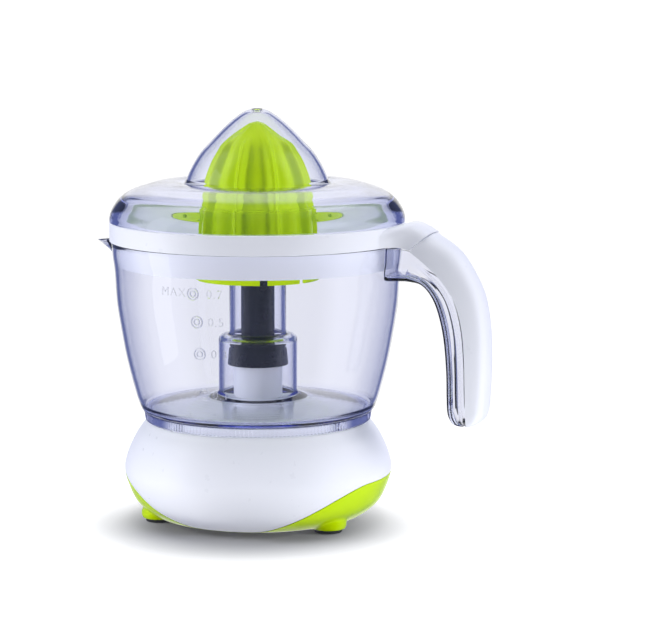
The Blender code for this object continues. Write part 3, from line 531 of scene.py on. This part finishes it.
def make_cover(looks):
    """Green lower shell with its three foot pods drawn out of the wall."""
    floor = 2.2

    def outline(angle):
        high = wave_height(angle) - SEAM_HALF
        outside = []
        for radius, height in base_wall(floor + 0.02, high, 36):
            outside.append((smooth_max(radius, pod_reach(angle, height), POD_BLEND), height))
        edge_radius, edge = outside[0]
        span = min(0.4, (high - floor) / 80)
        outside[:1] = [(edge_radius - span, edge), (edge_radius - span * 0.25, edge - span * 0.25),
                       (edge_radius, edge - span)]
        reach = outside[-1][0]
        sag = max(reach - 53.0, 0.0) * 0.06
        under = [(49.0 + (reach - 49.0) * 0.8, floor - sag * 0.8),
                 (49.0 + (reach - 49.0) * 0.4, floor - sag), (49.0, floor),
                 (4.0, floor), (4.0, floor + BASE_WALL)]
        top = high - 0.1
        low = min(floor + BASE_WALL, top - 0.02)
        inside = []
        for i in range(13):
            height = low + (top - low) * i / 12
            inside.append((float(np.interp(height, BASE_HEIGHTS, BASE_RADII)) - 2.6, height))
        return outside + under + inside

    look = looks["lime_plastic"]
    piece = turned("green_cover", outline, look, 480, sharp=40)
    tools = [pin("recess", on_circle(POST_RADIUS, angle), 3.4, -1.0, 3.4, look)
             for angle in POST_ANGLES]
    tools += [pin("recess", on_circle(FOOT_RADIUS, angle), 7.3, -1.0, 2.9, look)
              for angle in FOOT_ANGLES]
    tools += [slab("vent", (18.0, -1.2, -1.0), (34.0, 1.2, 7.0), FRONT + 60 * i + 30, look)
              for i in range(6)]
    reworked(piece, tools, 'DIFFERENCE', 40)
    piece.visible_diffuse = False
    return placed(piece, "base", "lime_plastic", "base_bottom_cover")


def pin(name, place, radius, bottom, top, look, sides=48):
    """An upright round bar."""
    loops = [[(place[0] + radius * math.cos(math.tau * i / sides),
               place[1] + radius * math.sin(math.tau * i / sides), height) for i in range(sides)]
             for height in (bottom, top)]
    return skin(name, loops, look)


def make_feet(looks):
    """Rubber pads with a rounded rim and grip rings underneath."""
    for i, angle in enumerate(FOOT_ANGLES):
        rings = []
        for k in range(3):
            middle = 4.8 - 1.8 * k
            rings += [(middle + 0.35, 0.0), (middle + 0.2, 0.25), (middle - 0.2, 0.25),
                      (middle - 0.35, 0.0)]
        outline = rounded([(0.0, 2.6), (7.0, 2.6, 0.2), (7.0, 0.0, 0.7)]) + rings + [(0.0, 0.0)]
        pad = turned(f"rubber_pad_{i + 1}", outline, looks["soft_rubber"], 64)
        moved(pad, on_circle(FOOT_RADIUS, angle))
        placed(pad, "base", "soft_rubber", f"foot_pad_{i + 1}")


def make_gland(looks):
    """Ribbed grommet of the cord inlet in the rear wall."""
    (radius, height) = base_wall(14.0, 16.0, 2)[1]
    low_radius, low = base_wall(14.0, 16.0, 2)[2]
    run = math.hypot(height - low, radius - low_radius)
    out, up = (height - low) / run, (low_radius - radius) / run
    outline = rounded([(5.6, 0.3, 0.2), (5.4, 1.6, 0.6), (4.3, 2.9, 0.5), (2.6, 2.9, 0.3), (2.6, -4.6),
                       (5.2, -4.6), (5.2, -3.1), (4.0, -3.1), (4.0, 0.3)])
    around = math.radians(FRONT + 180.0)
    loops = []
    for i in range(64):
        turn = math.tau * i / 64
        loop = []
        for reach, distance in outline:
            side, lift = reach * math.cos(turn), reach * math.sin(turn)
            spread = radius + out * distance - up * lift
            loop.append((spread * math.cos(around) - side * math.sin(around),
                         spread * math.sin(around) + side * math.cos(around),
                         height + up * distance + out * lift))
        loops.append(loop)
    piece = skin("inlet_grommet", loops, looks["soft_rubber"], ring=True)
    return placed(piece, "base", "soft_rubber", "cord_gland")


def make_spindle(looks):
    """Dark spindle with its grooved drip umbrella, shaft and hexagonal dog."""
    look = looks["slate_plastic"]
    outline = rounded([
        (0.0, 147.5), (8.75, 147.5, 0.6), (8.75, 93.7, 1.2), (14.5, 93.2, 0.9), (14.8, 91.0, 0.3),
        (14.2, 90.6, 0.15), (14.2, 89.9, 0.15), (15.0, 89.4, 0.4), (15.8, 81.0, 0.5), (13.4, 81.0, 0.3),
        (13.4, 88.4, 0.8), (5.0, 88.4), (5.0, 77.2, 0.1), (4.3, 77.2), (4.3, 75.8), (5.0, 75.8, 0.1),
        (5.0, 49.6, 0.3), (2.2, 49.2), (2.2, 34.8), (0.0, 34.8)])
    piece = turned("spindle_shaft", outline, look, 128)
    key, dog = [hexagon_bar(name, apothem, bottom, top, look)
                for name, apothem, bottom, top in (("key", 3.6, 37.5, 50.0), ("dog", 6.0, 147.0, 161.0))]
    reworked(piece, [key, dog], 'UNION')
    return placed(piece, "spindle", "slate_plastic", "drive_spindle")


def hexagon_bar(name, apothem, bottom, top, look):
    """A hexagonal bar on the drive axis, turned with the gearbox, with a bevelled top."""
    turn = math.atan2(JOINTS["rotor_spin"]["pos_m"][1] - AXIS_Y,
                      JOINTS["rotor_spin"]["pos_m"][0] - AXIS_X) - math.pi
    loops = []
    for height, share in ((bottom, 1.0), (top - 0.8, 1.0), (top, 0.88)):
        reach = apothem * share / math.cos(math.pi / 6)
        loops.append([(reach * math.cos(turn + math.tau * i / 6),
                       reach * math.sin(turn + math.tau * i / 6), height) for i in range(6)])
    return skin(name, loops, look)


def make_return_spring(looks):
    """Steel press spring with closed ends."""
    low, high = [height_of("return_spring", end) for end in (0, 1)]
    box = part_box("return_spring")
    wire = 0.35
    coils = 5
    steps = 40 * coils
    radius = (box[1].y - box[0].y) / 2 / MM - wire
    loops = []
    for i in range(steps + 1):
        turn = math.tau * coils * i / steps
        rise = smooth_step(i / steps * 0.9 + 0.05) * 0.4 + i / steps * 0.6
        middle = low + wire + (high - low - 2 * wire) * rise
        loops.append([((radius + wire * math.cos(bend)) * math.cos(turn),
                       (radius + wire * math.cos(bend)) * math.sin(turn), middle + wire * math.sin(bend))
                      for bend in (math.tau * j / 16 for j in range(16))])
    piece = skin("press_spring", loops, looks["bright_steel"])
    placed(piece, "plunger", "bright_steel", "return_spring")
    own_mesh(piece)
    return piece


# Jug

def spout_share(angle):
    """How much of the spout there is at an angle, from 0 to 1 at its tip."""
    turn = abs(turn_from(angle, 180.0))
    width = max(0.0, 1.0 - turn / SPOUT_HALF_ANGLE)
    return width * smooth_step(width * 2.5)


def rib_depth(angle):
    """How deep the foot ring's fine ribs are cut at an angle."""
    return RIB_DEPTH * (0.5 - 0.5 * math.cos(FOOT_RIBS * angle))


def jug_outline():
    """The jug's section without its spout and ribs."""
    wall = smooth_curve(JUG_OUTLINE, 5)
    inside = inset(wall, JUG_WALL)
    inside[0] = (inside[0][0], wall[0][1])
    inside = [point for point in inside if point[1] > 61.6]
    rim = rounded([(inside[0][0], wall[0][1], 0.5), (wall[0][0], wall[0][1], 0.5), wall[3]])[:-1]
    ripple = []
    for i in range(61):
        radius = 55.6 - i * 0.5
        height = 59.6 + (55.6 - radius) * 0.163
        ripple.append((radius, height + 0.012 * math.sin(radius * 2.1)))
    foot = rounded([(60.2, 57.9, 0.3), (59.3, 57.2, 0.3), (58.9, 53.0, 0.5), (58.2, 52.4, 0.3),
                    (56.2, 52.4, 0.3), (56.2, 57.3, 0.8), (24.5, 62.6, 1.0), (19.2, 63.0, 1.5),
                    (18.7, 66.0), (18.7, 94.6, 2.2), (12.9, 95.4, 0.8), (12.9, 146.0, 0.3),
                    (14.7, 146.0, 0.3), (14.7, 96.9, 1.6), (20.5, 96.2, 2.6), (20.5, 66.2, 1.6)])
    corner = rounded([ripple[1], (57.8, 59.3, 2.2), inside[-1]])[1:-1]
    return rim, wall[3:], foot, ripple[::-1], corner, inside[::-1]


def make_jug(looks):
    """Clear jug with its spout, ribbed foot ring, domed floor and chimney."""
    rim, wall, foot, ripple, corner, inside = jug_outline()
    section = rim + wall + foot + ripple + corner + inside[:-1]

    def outline(angle):
        share = spout_share(angle)
        ribs = rib_depth(angle)
        points = []
        for radius, height in section:
            if radius > 57.6 and 52.9 < height < 57.4:
                radius -= ribs
            rise = min(max((height - SPOUT_START) / (145.6 - SPOUT_START), 0.0), 1.0)
            if radius > 60.0 and rise > 0.0:
                lift = share * rise ** 1.15
                radius += (SPOUT_REACH - 75.4) * lift
                height -= SPOUT_DROP * lift
            points.append((radius, height))
        return points

    return turned("clear_jug", outline, looks["clear_plastic"], 4 * FOOT_RIBS, sharp=50)


def jug_radius(height):
    """The jug's outer radius at a height."""
    radii, heights = zip(*smooth_curve(JUG_OUTLINE, 5))
    return float(np.interp(height, heights[::-1], radii[::-1]))


def ring_mark(height, side, reach):
    """Two thin rings raised on the jug's wall, as the rows of its scale have."""
    bm = bmesh.new()
    for radius, width in ((reach, 0.32), (reach * 0.5, 0.3)):
        rows = []
        for i in range(48):
            turn = math.tau * i / 48
            row = []
            for spread, lift in ((-width, 0.04), (-width * 0.4, 0.2), (width * 0.4, 0.2), (width, 0.04)):
                row.append(bm.verts.new(((radius + spread) * math.cos(turn),
                                         (radius + spread) * math.sin(turn), lift)))
            rows.append(row)
        for row, after in zip(rows, rows[1:] + rows[:1]):
            for j, corner in enumerate(row):
                k = (j + 1) % 4
                bm.faces.new((corner, row[k], after[k], after[j]))
    return wrapped(bm, height, side)


def text_mark(text, size, height, side):
    """Raised letters on the jug's wall."""
    letters = bpy.data.curves.new("letters", 'FONT')
    letters.body = text
    letters.size = size
    letters.align_x = 'CENTER'
    letters.align_y = 'CENTER'
    letters.extrude = 0.07
    letters.bevel_depth = 0.05
    letters.bevel_resolution = 1
    letters.offset = -0.14
    letters.space_character = 1.15
    carrier = bpy.data.objects.new("letters", letters)
    bpy.context.scene.collection.objects.link(carrier)
    bpy.context.view_layer.update()
    view = bpy.context.evaluated_depsgraph_get()
    mesh = bpy.data.meshes.new_from_object(carrier.evaluated_get(view))
    bpy.data.objects.remove(carrier)
    bm = bmesh.new()
    bm.from_mesh(mesh)
    bmesh.ops.remove_doubles(bm, verts=bm.verts, dist=0.0005)
    for vertex in bm.verts:
        vertex.co.z += 0.15
    return wrapped(bm, height, side)


def wrapped(bm, height, side):
    """Wrap flat raised shapes onto the jug's wall, some way left of the camera's direction."""
    for vertex in bm.verts:
        level = height + vertex.co.y
        radius = jug_radius(level)
        middle = math.radians(CAMERA_FRONT) - math.asin(side / radius)
        angle = middle + vertex.co.x / radius
        reach = radius + vertex.co.z
        vertex.co = (reach * math.cos(angle), reach * math.sin(angle), level)
    return bm


def make_marks(looks):
    """The jug's scale: generic level numbers with ring marks beside them."""
    rows = [(126.3, "0.7", 19.3, 30.1), (112.3, "0.5", 18.6, 28.2), (96.0, "0.3", 17.2, 27.0),
            (74.8, "0.1", 16.8, 24.8)]
    parts = [text_mark("MAX", 6.4, 126.5, 40.0)]
    for height, text, text_side, ring_side in rows:
        parts.append(text_mark(text, 6.2, height, text_side))
        parts.append(ring_mark(height, ring_side, 2.9))
    bm = bmesh.new()
    for part in parts:
        mesh = bpy.data.meshes.new("part")
        part.to_mesh(mesh)
        part.free()
        bm.from_mesh(mesh)
        bpy.data.meshes.remove(mesh)
    piece = piece_of("jug_scale_marks", bm, looks["clear_plastic"])
    return placed(let_light_in(piece), "jug", "clear_plastic")


# Handle

def handle_lines():
    """The handle's grip line, seam line, back line and share of its width as smooth curves."""
    lines = [smooth_curve(line, HANDLE_STEPS) for line in (GRIP_SIDE, SEAM_SIDE, BACK_SIDE)]
    widths = [width for width, in smooth_curve([(width,) for width in HANDLE_WIDTHS], HANDLE_STEPS)]
    return [*lines, widths]


def across(start, end, outline):
    """A handle section: (share from start to end, y) points as places in space."""
    return [(start[0] + (end[0] - start[0]) * share, y, start[1] + (end[1] - start[1]) * share)
            for share, y in outline]


def bow(half, reach, power, count=20):
    """Half of a rounded box, from one side at share 0 over the back at some reach to the other side."""
    points = []
    for i in range(count + 1):
        turn = math.pi * i / count
        y = math.cos(turn)
        share = math.sin(turn)
        points.append((reach * share ** (2 / power), math.copysign(abs(y) ** (2 / power), y) * half))
    return points


def make_handle_cover(looks):
    """White outer half of the handle, a rounded channel."""
    _, seam, back, widths = handle_lines()
    sections = []
    for start, end, width in zip(seam, back, widths):
        depth = math.dist(start, end)
        wall = min(HANDLE_WALL / depth, 0.6)
        half = HANDLE_HALF_WIDTH * width
        outline = bow(half, 1.0, 2.9) + bow(half - HANDLE_WALL, 1.0 - wall, 2.9)[::-1]
        sections.append(across(start, end, outline))
    piece = skin("white_handle", sections, looks["white_plastic"], sharp=50)
    return placed(piece, "jug", "white_plastic", "handle_cover")


def make_handle_liner(look):
    """Clear inner half of the handle with a long groove in each side, and its root on the jug."""
    grip, seam, _, widths = handle_lines()
    root = [((73.4, 128.2), (73.9, 145.2)), ((76.0, 128.3), (77.2, 145.2)), ((80.0, 128.5), (82.0, 145.0))]
    lines = [(*ends, 1.0) for ends in root] + list(zip(grip, seam, widths))
    groove_start = len(root) + 2
    sections = []
    for i, (low, high, width) in enumerate(lines):
        groove = 1.6 if i >= groove_start else 0.4
        outline = [(0.0, 11.6), (0.2, 11.6), (0.3, 11.5), (0.4, 11.6 - groove * 0.8),
                   (0.52, 11.6 - groove), (0.64, 11.6 - groove * 0.8), (0.74, 11.5), (0.86, 11.2),
                   (0.95, 10.2), (0.99, 8.6), (1.0, 6.0)]
        outline += [(share, -y) for share, y in reversed(outline)]
        outline += [(share * 0.88, y * 0.84) for share, y in reversed(outline)]
        outline = [(share, y * width) for share, y in outline]
        sections.append(across(high, low, outline))
    return skin("liner", sections, look, sharp=50)


def make_jug_and_liner(looks):
    """Join the liner of the handle to the jug."""
    jug = make_jug(looks)
    liner = make_handle_liner(looks["clear_plastic"])
    reworked(jug, [liner], 'UNION', 50)
    return placed(let_light_in(jug), "jug", "clear_plastic", "jug", "jug_chimney", "jug_handle")


# Ring, strainer, cone and lid

def make_ring(looks):
    """White ring on the jug's rim, with its skirt and the tab that flares out of it."""
    look = looks["white_plastic"]
    outline = rounded([
        (RING_RADIUS, 155.7, 0.5), (RING_RADIUS, 145.9, 0.4), (71.4, 145.9, 0.4), (71.4, 133.5, 0.3),
        (69.6, 133.5, 0.3), (69.6, 148.3, 0.8), (50.8, 138.6, 0.4), (48.0, 137.2, 0.3),
        (48.0, 138.9, 0.3), (50.8, 140.3), (50.8, 142.2, 0.3), (67.4, 150.8, 2.5),
        (67.4, 155.7, 0.8)])
    piece = turned("white_ring", outline, look, 256, sharp=40)
    stations = [((70.0, 146.2), (70.0, 155.4), 24.0), ((73.6, 146.2), (73.6, 155.5), 20.6),
                ((76.4, 146.2), (76.8, 155.9), 17.4),
                ((78.6, 146.2), (80.2, 157.0), 15.1), ((81.4, 146.1), (84.2, 157.9), 13.4),
                ((84.2, 145.6), (88.0, 157.8), 12.4), ((85.8, 145.1), (93.0, 155.6), 12.05),
                ((86.6, 144.9), (96.7, 153.4), 12.0)]
    flat = [(*bottom, *top, half) for bottom, top, half in stations]
    sections = []
    for low_radius, low, high_radius, high, half in smooth_curve(flat, 5):
        outline = bow(half, 1.0, 4.0, 28)
        sections.append(across((low_radius, low), (high_radius, high), outline))
    tab = skin("tab", sections, look, sharp=50)
    reworked(piece, [tab], 'UNION', 40)
    return placed(piece, "collector", "white_plastic", "collector_ring")


def make_strainer(looks):
    """Green strainer bowl with its radial slots, hub and drip lip."""
    look = looks["lime_plastic"]
    outline = rounded([
        (50.5, 142.0, 0.4), (50.5, 140.5, 0.3), (33.0, 131.5, 1.0), (32.2, 125.8, 0.3),
        (30.4, 125.8, 0.3), (30.4, 130.6, 0.6), (17.0, 130.6, 0.4), (17.0, 127.0, 0.3),
        (15.2, 127.0, 0.3), (15.2, 145.0, 0.4), (17.0, 145.0, 0.4), (17.0, 132.2, 1.0),
        (32.4, 132.8, 1.5)])
    piece = turned("green_strainer", outline, look, 240, sharp=40)
    tools = [slab("slot", (36.5, -1.1, 110.0), (47.0, 1.1, 153.0), 360 * (i + 0.5) / 24, look)
             for i in range(24)]
    tools += [slab("notch", (29.0, -2.0, 120.0), (34.0, 2.0, 129.0), FRONT + offset + 120 * third, look)
              for third in range(3) for offset in (23.0, 62.5)]
    reworked(piece, tools, 'DIFFERENCE', 40)
    return placed(piece, "strainer", "lime_plastic", "strainer")


def ridge_share(angle, radius, width, spacing, start):
    """How much of the nearest ridge there is at an angle, 1 on its crest."""
    offset = math.remainder(angle - math.radians(start), math.radians(spacing))
    return math.exp(-(abs(offset) * max(radius, 0.5) / width) ** 2)


def cone_radius(angle, radius, height):
    """The cone's radius at an angle: panels between rounded ridges."""
    drop = CONE_TOP - height
    depth = 5.4 * smooth_step((drop + 6.0) / 26.0)
    main = ridge_share(angle, radius, 2.9, 120.0, MAIN_RIDGE)
    fade = smooth_step((drop - 4.0) / 8.0)
    lesser = ridge_share(angle, radius, 2.3, 40.0, MAIN_RIDGE) * fade
    panel = 0.5 + 0.5 * math.cos(RIDGES * (angle - math.radians(MAIN_RIDGE)))
    ridge = max(main, lesser)
    return radius - depth * (1.0 - ridge) * (0.62 + 0.38 * panel)


def make_cone(looks):
    """Green squeezing cone with three main ridges, lesser ones between them, and a stepped skirt."""
    curve = smooth_curve(CONE_OUTLINE, 6)
    skirt = rounded([(29.7, 161.3, 0.3), (28.9, 161.0, 0.2), (28.9, 160.2, 0.2), (30.2, 159.9, 0.3),
                     (30.5, 158.2, 0.3), (29.8, 157.9, 0.2), (29.9, 157.2, 0.2), (31.1, 156.9, 0.3),
                     (31.5, 149.7), (31.6, 133.8, 0.4), (29.2, 133.8, 0.4), (28.0, 149.7),
                     (25.2, 170.0), (21.0, 183.0), (9.4, 197.4), (9.4, 148.6), (0.0, 148.6)], 3)

    def outline(angle):
        points = [(cone_radius(angle, radius, height), height) for radius, height in curve]
        for radius, height in skirt:
            if radius > 28.8 and height > 133.9:
                panel = 1.0 - ridge_share(angle, radius, 3.0, 40.0, MAIN_RIDGE)
                radius = cone_radius(angle, radius, height) + 0.9 * panel
            points.append((radius, height))
        return points

    look = looks["lime_plastic"]
    piece = turned("green_cone", outline, look, 360, sharp=40)
    reworked(piece, [hexagon_bar("socket", 6.4, 140.0, 162.0, look)], 'DIFFERENCE', 40)
    return placed(piece, "cone", "lime_plastic", "cone")


def make_lid(looks):
    """Clear lid with its thick-edged brim, crease, dome and vent hole."""
    dome = smooth_curve(LID_DOME, 5)
    brim = smooth_curve(LID_BRIM, 5)
    outside = dome + brim
    inner_dome = inset(dome, LID_WALL)[:-1]
    inner_brim = inset(brim, LID_WALL)
    inner_dome[0] = (LID_DOME[0][0], inner_dome[0][1])
    inner_brim = [(radius - RIM_THICKENING * smooth_step((RIM_TOP - height) / 9.0), height)
                  for radius, height in inner_brim]
    inner_brim[-1] = (RING_RADIUS - LID_WALL - RIM_THICKENING, LID_BOTTOM)
    section = outside + (inner_dome + inner_brim)[::-1]
    piece = turned("clear_lid", section, looks["clear_plastic"], 256, sharp=40)
    return placed(let_light_in(piece), "lid", "clear_plastic", "lid")


# Studio

def in_camera_frame(right, away, up):
    """A place right of and beyond the drive axis as the camera sees it, in metres."""
    turn = math.radians(CAMERA_TURN)
    return (AXIS_X + right * math.cos(turn) - away * math.sin(turn),
            AXIS_Y + right * math.sin(turn) + away * math.cos(turn), up)


def make_camera():
    """The camera, a little above the object and turned from its handle."""
    camera = bpy.data.cameras.new("camera")
    camera.sensor_width = 36.0
    camera.lens = 133.75
    camera.clip_end = 50.0
    eye = bpy.data.objects.new("camera", camera)
    tilt = math.radians(8.0)
    distance = 1.248
    eye.location = in_camera_frame(0.0339, -distance * math.cos(tilt),
                                   0.10966 + distance * math.sin(tilt))
    eye.rotation_euler = (math.pi / 2 - tilt, 0.0, math.radians(CAMERA_TURN))
    bpy.context.scene.collection.objects.link(eye)
    bpy.context.scene.camera = eye


def add_softbox(name, place, size, energy, mirrored):
    """A rectangular soft light aimed at the middle of the object; glossy surfaces may leave it out."""
    lamp = bpy.data.lights.new(name, 'AREA')
    lamp.shape = 'RECTANGLE'
    lamp.size, lamp.size_y = size
    lamp.energy = energy
    box = bpy.data.objects.new(name, lamp)
    box.location = in_camera_frame(*place)
    aim = np.array([AXIS_X, AXIS_Y, 0.11]) - np.array(box.location)
    pitch = math.atan2(math.hypot(aim[0], aim[1]), -aim[2])
    box.rotation_euler = (pitch, 0.0, math.atan2(-aim[0], aim[1]))
    box.visible_glossy = mirrored
    box.visible_transmission = False
    bpy.context.scene.collection.objects.link(box)


def math_node(tree, operation, first, second=None):
    """A scalar maths node on two values or sockets."""
    node = tree.nodes.new("ShaderNodeMath")
    node.operation = operation
    for socket, value in zip(node.inputs, (first, second)):
        if isinstance(value, float):
            socket.default_value = value
        elif value is not None:
            tree.links.new(value, socket)
    return node.outputs["Value"]


def along(tree, direction, turn):
    """How far a direction points along a level line at some turn, in degrees."""
    node = tree.nodes.new("ShaderNodeVectorMath")
    node.operation = 'DOT_PRODUCT'
    node.inputs[1].default_value = (math.cos(math.radians(turn)), math.sin(math.radians(turn)), 0.0)
    tree.links.new(direction, node.inputs[0])
    return node.outputs["Value"]


def add_walls(tree, share, stops):
    """Surroundings whose colour changes with the share of a half turn away from the backdrop."""
    walls = tree.nodes.new("ShaderNodeValToRGB")
    for position, _ in stops[2:]:
        walls.color_ramp.elements.new(position)
    for element, (position, colour) in zip(walls.color_ramp.elements, stops):
        element.position = position
        element.color = (*colour, 1.0)
    tree.links.new(share, walls.inputs["Fac"])
    return walls.outputs["Color"]


def mixed(tree, factor, first, second):
    """Mix two colour sockets."""
    node = tree.nodes.new("ShaderNodeMix")
    node.data_type = 'RGBA'
    tree.links.new(factor, node.inputs["Factor"])
    for value, socket in ((first, node.inputs["A"]), (second, node.inputs["B"])):
        if isinstance(value, tuple):
            socket.default_value = (*value, 1.0)
        else:
            tree.links.new(value, socket)
    return node.outputs["Result"]


def make_surroundings():
    """A white backdrop, dark flags beside it, bright side walls and a dark room in front.

    Clear plastic shows a paler room in front, so that it stays clear from behind.
    """
    world = bpy.data.worlds.new("studio")
    bpy.context.scene.world = world
    world.use_nodes = True
    tree = world.node_tree
    place = tree.nodes.new("ShaderNodeTexCoord").outputs["Generated"]
    ahead = along(tree, place, CAMERA_FRONT + 180.0)
    aside = along(tree, place, CAMERA_TURN)
    turn = math_node(tree, 'ABSOLUTE', math_node(tree, 'ARCTAN2', aside, ahead))
    share = math_node(tree, 'DIVIDE', turn, math.pi)
    lit = [(0.0, (1.0, 1.0, 1.0)), (0.08, (1.0, 1.0, 1.0)), (0.12, (0.14, 0.17, 0.36)),
           (0.34, (0.16, 0.19, 0.38)), (0.43, (0.80, 0.82, 0.88)), (0.60, (0.80, 0.82, 0.88)),
           (0.72, (0.04, 0.045, 0.06)), (1.0, (0.03, 0.035, 0.05))]
    seen = lit[:6] + [(0.70, (0.24, 0.25, 0.32)), (0.85, (0.20, 0.21, 0.26))]
    path = tree.nodes.new("ShaderNodeLightPath")
    walls = mixed(tree, path.outputs["Is Transmission Ray"], add_walls(tree, share, lit),
                  add_walls(tree, share, seen))
    height = tree.nodes.new("ShaderNodeSeparateXYZ")
    tree.links.new(place, height.inputs["Vector"])
    above = tree.nodes.new("ShaderNodeMapRange")
    above.inputs["From Min"].default_value = 0.78
    above.inputs["From Max"].default_value = 0.95
    tree.links.new(height.outputs["Z"], above.inputs["Value"])
    surround = tree.nodes["Background"]
    tree.links.new(mixed(tree, above.outputs["Result"], walls, (0.20, 0.21, 0.26)),
                   surround.inputs["Color"])

    backdrop = tree.nodes.new("ShaderNodeBackground")
    backdrop.inputs["Color"].default_value = (1.0, 1.0, 1.0, 1.0)
    backdrop.inputs["Strength"].default_value = 1.1
    mix = tree.nodes.new("ShaderNodeMixShader")
    tree.links.new(path.outputs["Is Camera Ray"], mix.inputs["Fac"])
    tree.links.new(surround.outputs["Background"], mix.inputs[1])
    tree.links.new(backdrop.outputs["Background"], mix.inputs[2])
    tree.links.new(mix.outputs["Shader"], tree.nodes["World Output"].inputs["Surface"])


def make_studio():
    """Surroundings, soft boxes and a floor with painted light: it glows more away from the base, which leaves a
    painted shadow around it.
    """
    make_surroundings()
    add_softbox("left_strip", (-1.10, -0.20, 0.25), (0.40, 1.4), 1.9, True)
    add_softbox("left_softbox", (-1.08, -0.24, 0.30), (0.30, 0.9), 5.8, False)
    add_softbox("right_strip", (1.06, -0.34, 0.28), (0.3, 0.6), 6.4, False)
    add_softbox("top_softbox", (0.05, 0.12, 1.2), (0.7, 0.7), 6.8, False)
    add_softbox("front_fill", (-0.05, -1.1, 0.10), (0.9, 0.20), 2.9, False)

    look, tree, shader = new_look("floor_painted_glow_and_shadow")
    tint = ranged(tree, noise(tree, 3.0, 2.0), 0.0, 1.0)
    tree.links.new(blended(tree, tint, (0.50, 0.50, 0.50), (0.52, 0.52, 0.52)),
                   shader.inputs["Base Color"])
    shader.inputs["Roughness"].default_value = 0.9
    shader.inputs["Emission Color"].default_value = (1.0, 1.0, 1.0, 1.0)
    # Painted light: the floor's emission is zero near the base and rises to 0.8 further out. It glows white far
    # off and leaves a painted shadow around the base, mostly in front of it, where the centre of the ramp lies.
    reach = tree.nodes.new("ShaderNodeVectorMath")
    reach.operation = 'DISTANCE'
    reach.inputs[1].default_value = in_camera_frame(-0.004, -0.024, 0.0)
    tree.links.new(tree.nodes.new("ShaderNodeTexCoord").outputs["Object"], reach.inputs[0])
    lift = tree.nodes.new("ShaderNodeMapRange")
    lift.interpolation_type = 'SMOOTHSTEP'
    lift.inputs["From Min"].default_value = 0.040
    lift.inputs["From Max"].default_value = 0.098
    lift.inputs["To Min"].default_value = 0.0
    lift.inputs["To Max"].default_value = 0.80
    tree.links.new(reach.outputs["Value"], lift.inputs["Value"])
    tree.links.new(lift.outputs["Result"], shader.inputs["Emission Strength"])
    mesh = bpy.data.meshes.new("floor")
    corners = [in_camera_frame(0.36 * math.cos(math.tau * i / 96), 0.30 * math.sin(math.tau * i / 96), 0.0)
               for i in range(96)]
    mesh.from_pydata(corners, [], [range(96)])
    mesh.materials.append(look)
    floor = bpy.data.objects.new("floor", mesh)
    floor.visible_glossy = False
    floor.visible_transmission = False
    bpy.context.scene.collection.objects.link(floor)
    bpy.context.scene.view_settings.view_transform = 'Standard'


def finish_cad_nodes(looks):
    """Give every CAD node that stays in sight the material of its slot."""
    for entry in frame["record"]["subparts"]:
        node = frame["nodes"][entry["node"]]
        node.data.materials.clear()
        node.data.materials.append(looks[entry["material_slot"]])


make_camera()
make_studio()
looks = make_looks()
finish_cad_nodes(looks)
make_housing(looks)
make_tower(looks)
make_cover(looks)
make_feet(looks)
make_gland(looks)
make_spindle(looks)
make_return_spring(looks)
make_jug_and_liner(looks)
make_marks(looks)
make_handle_cover(looks)
make_ring(looks)
make_strainer(looks)
make_cone(looks)
make_lid(looks)
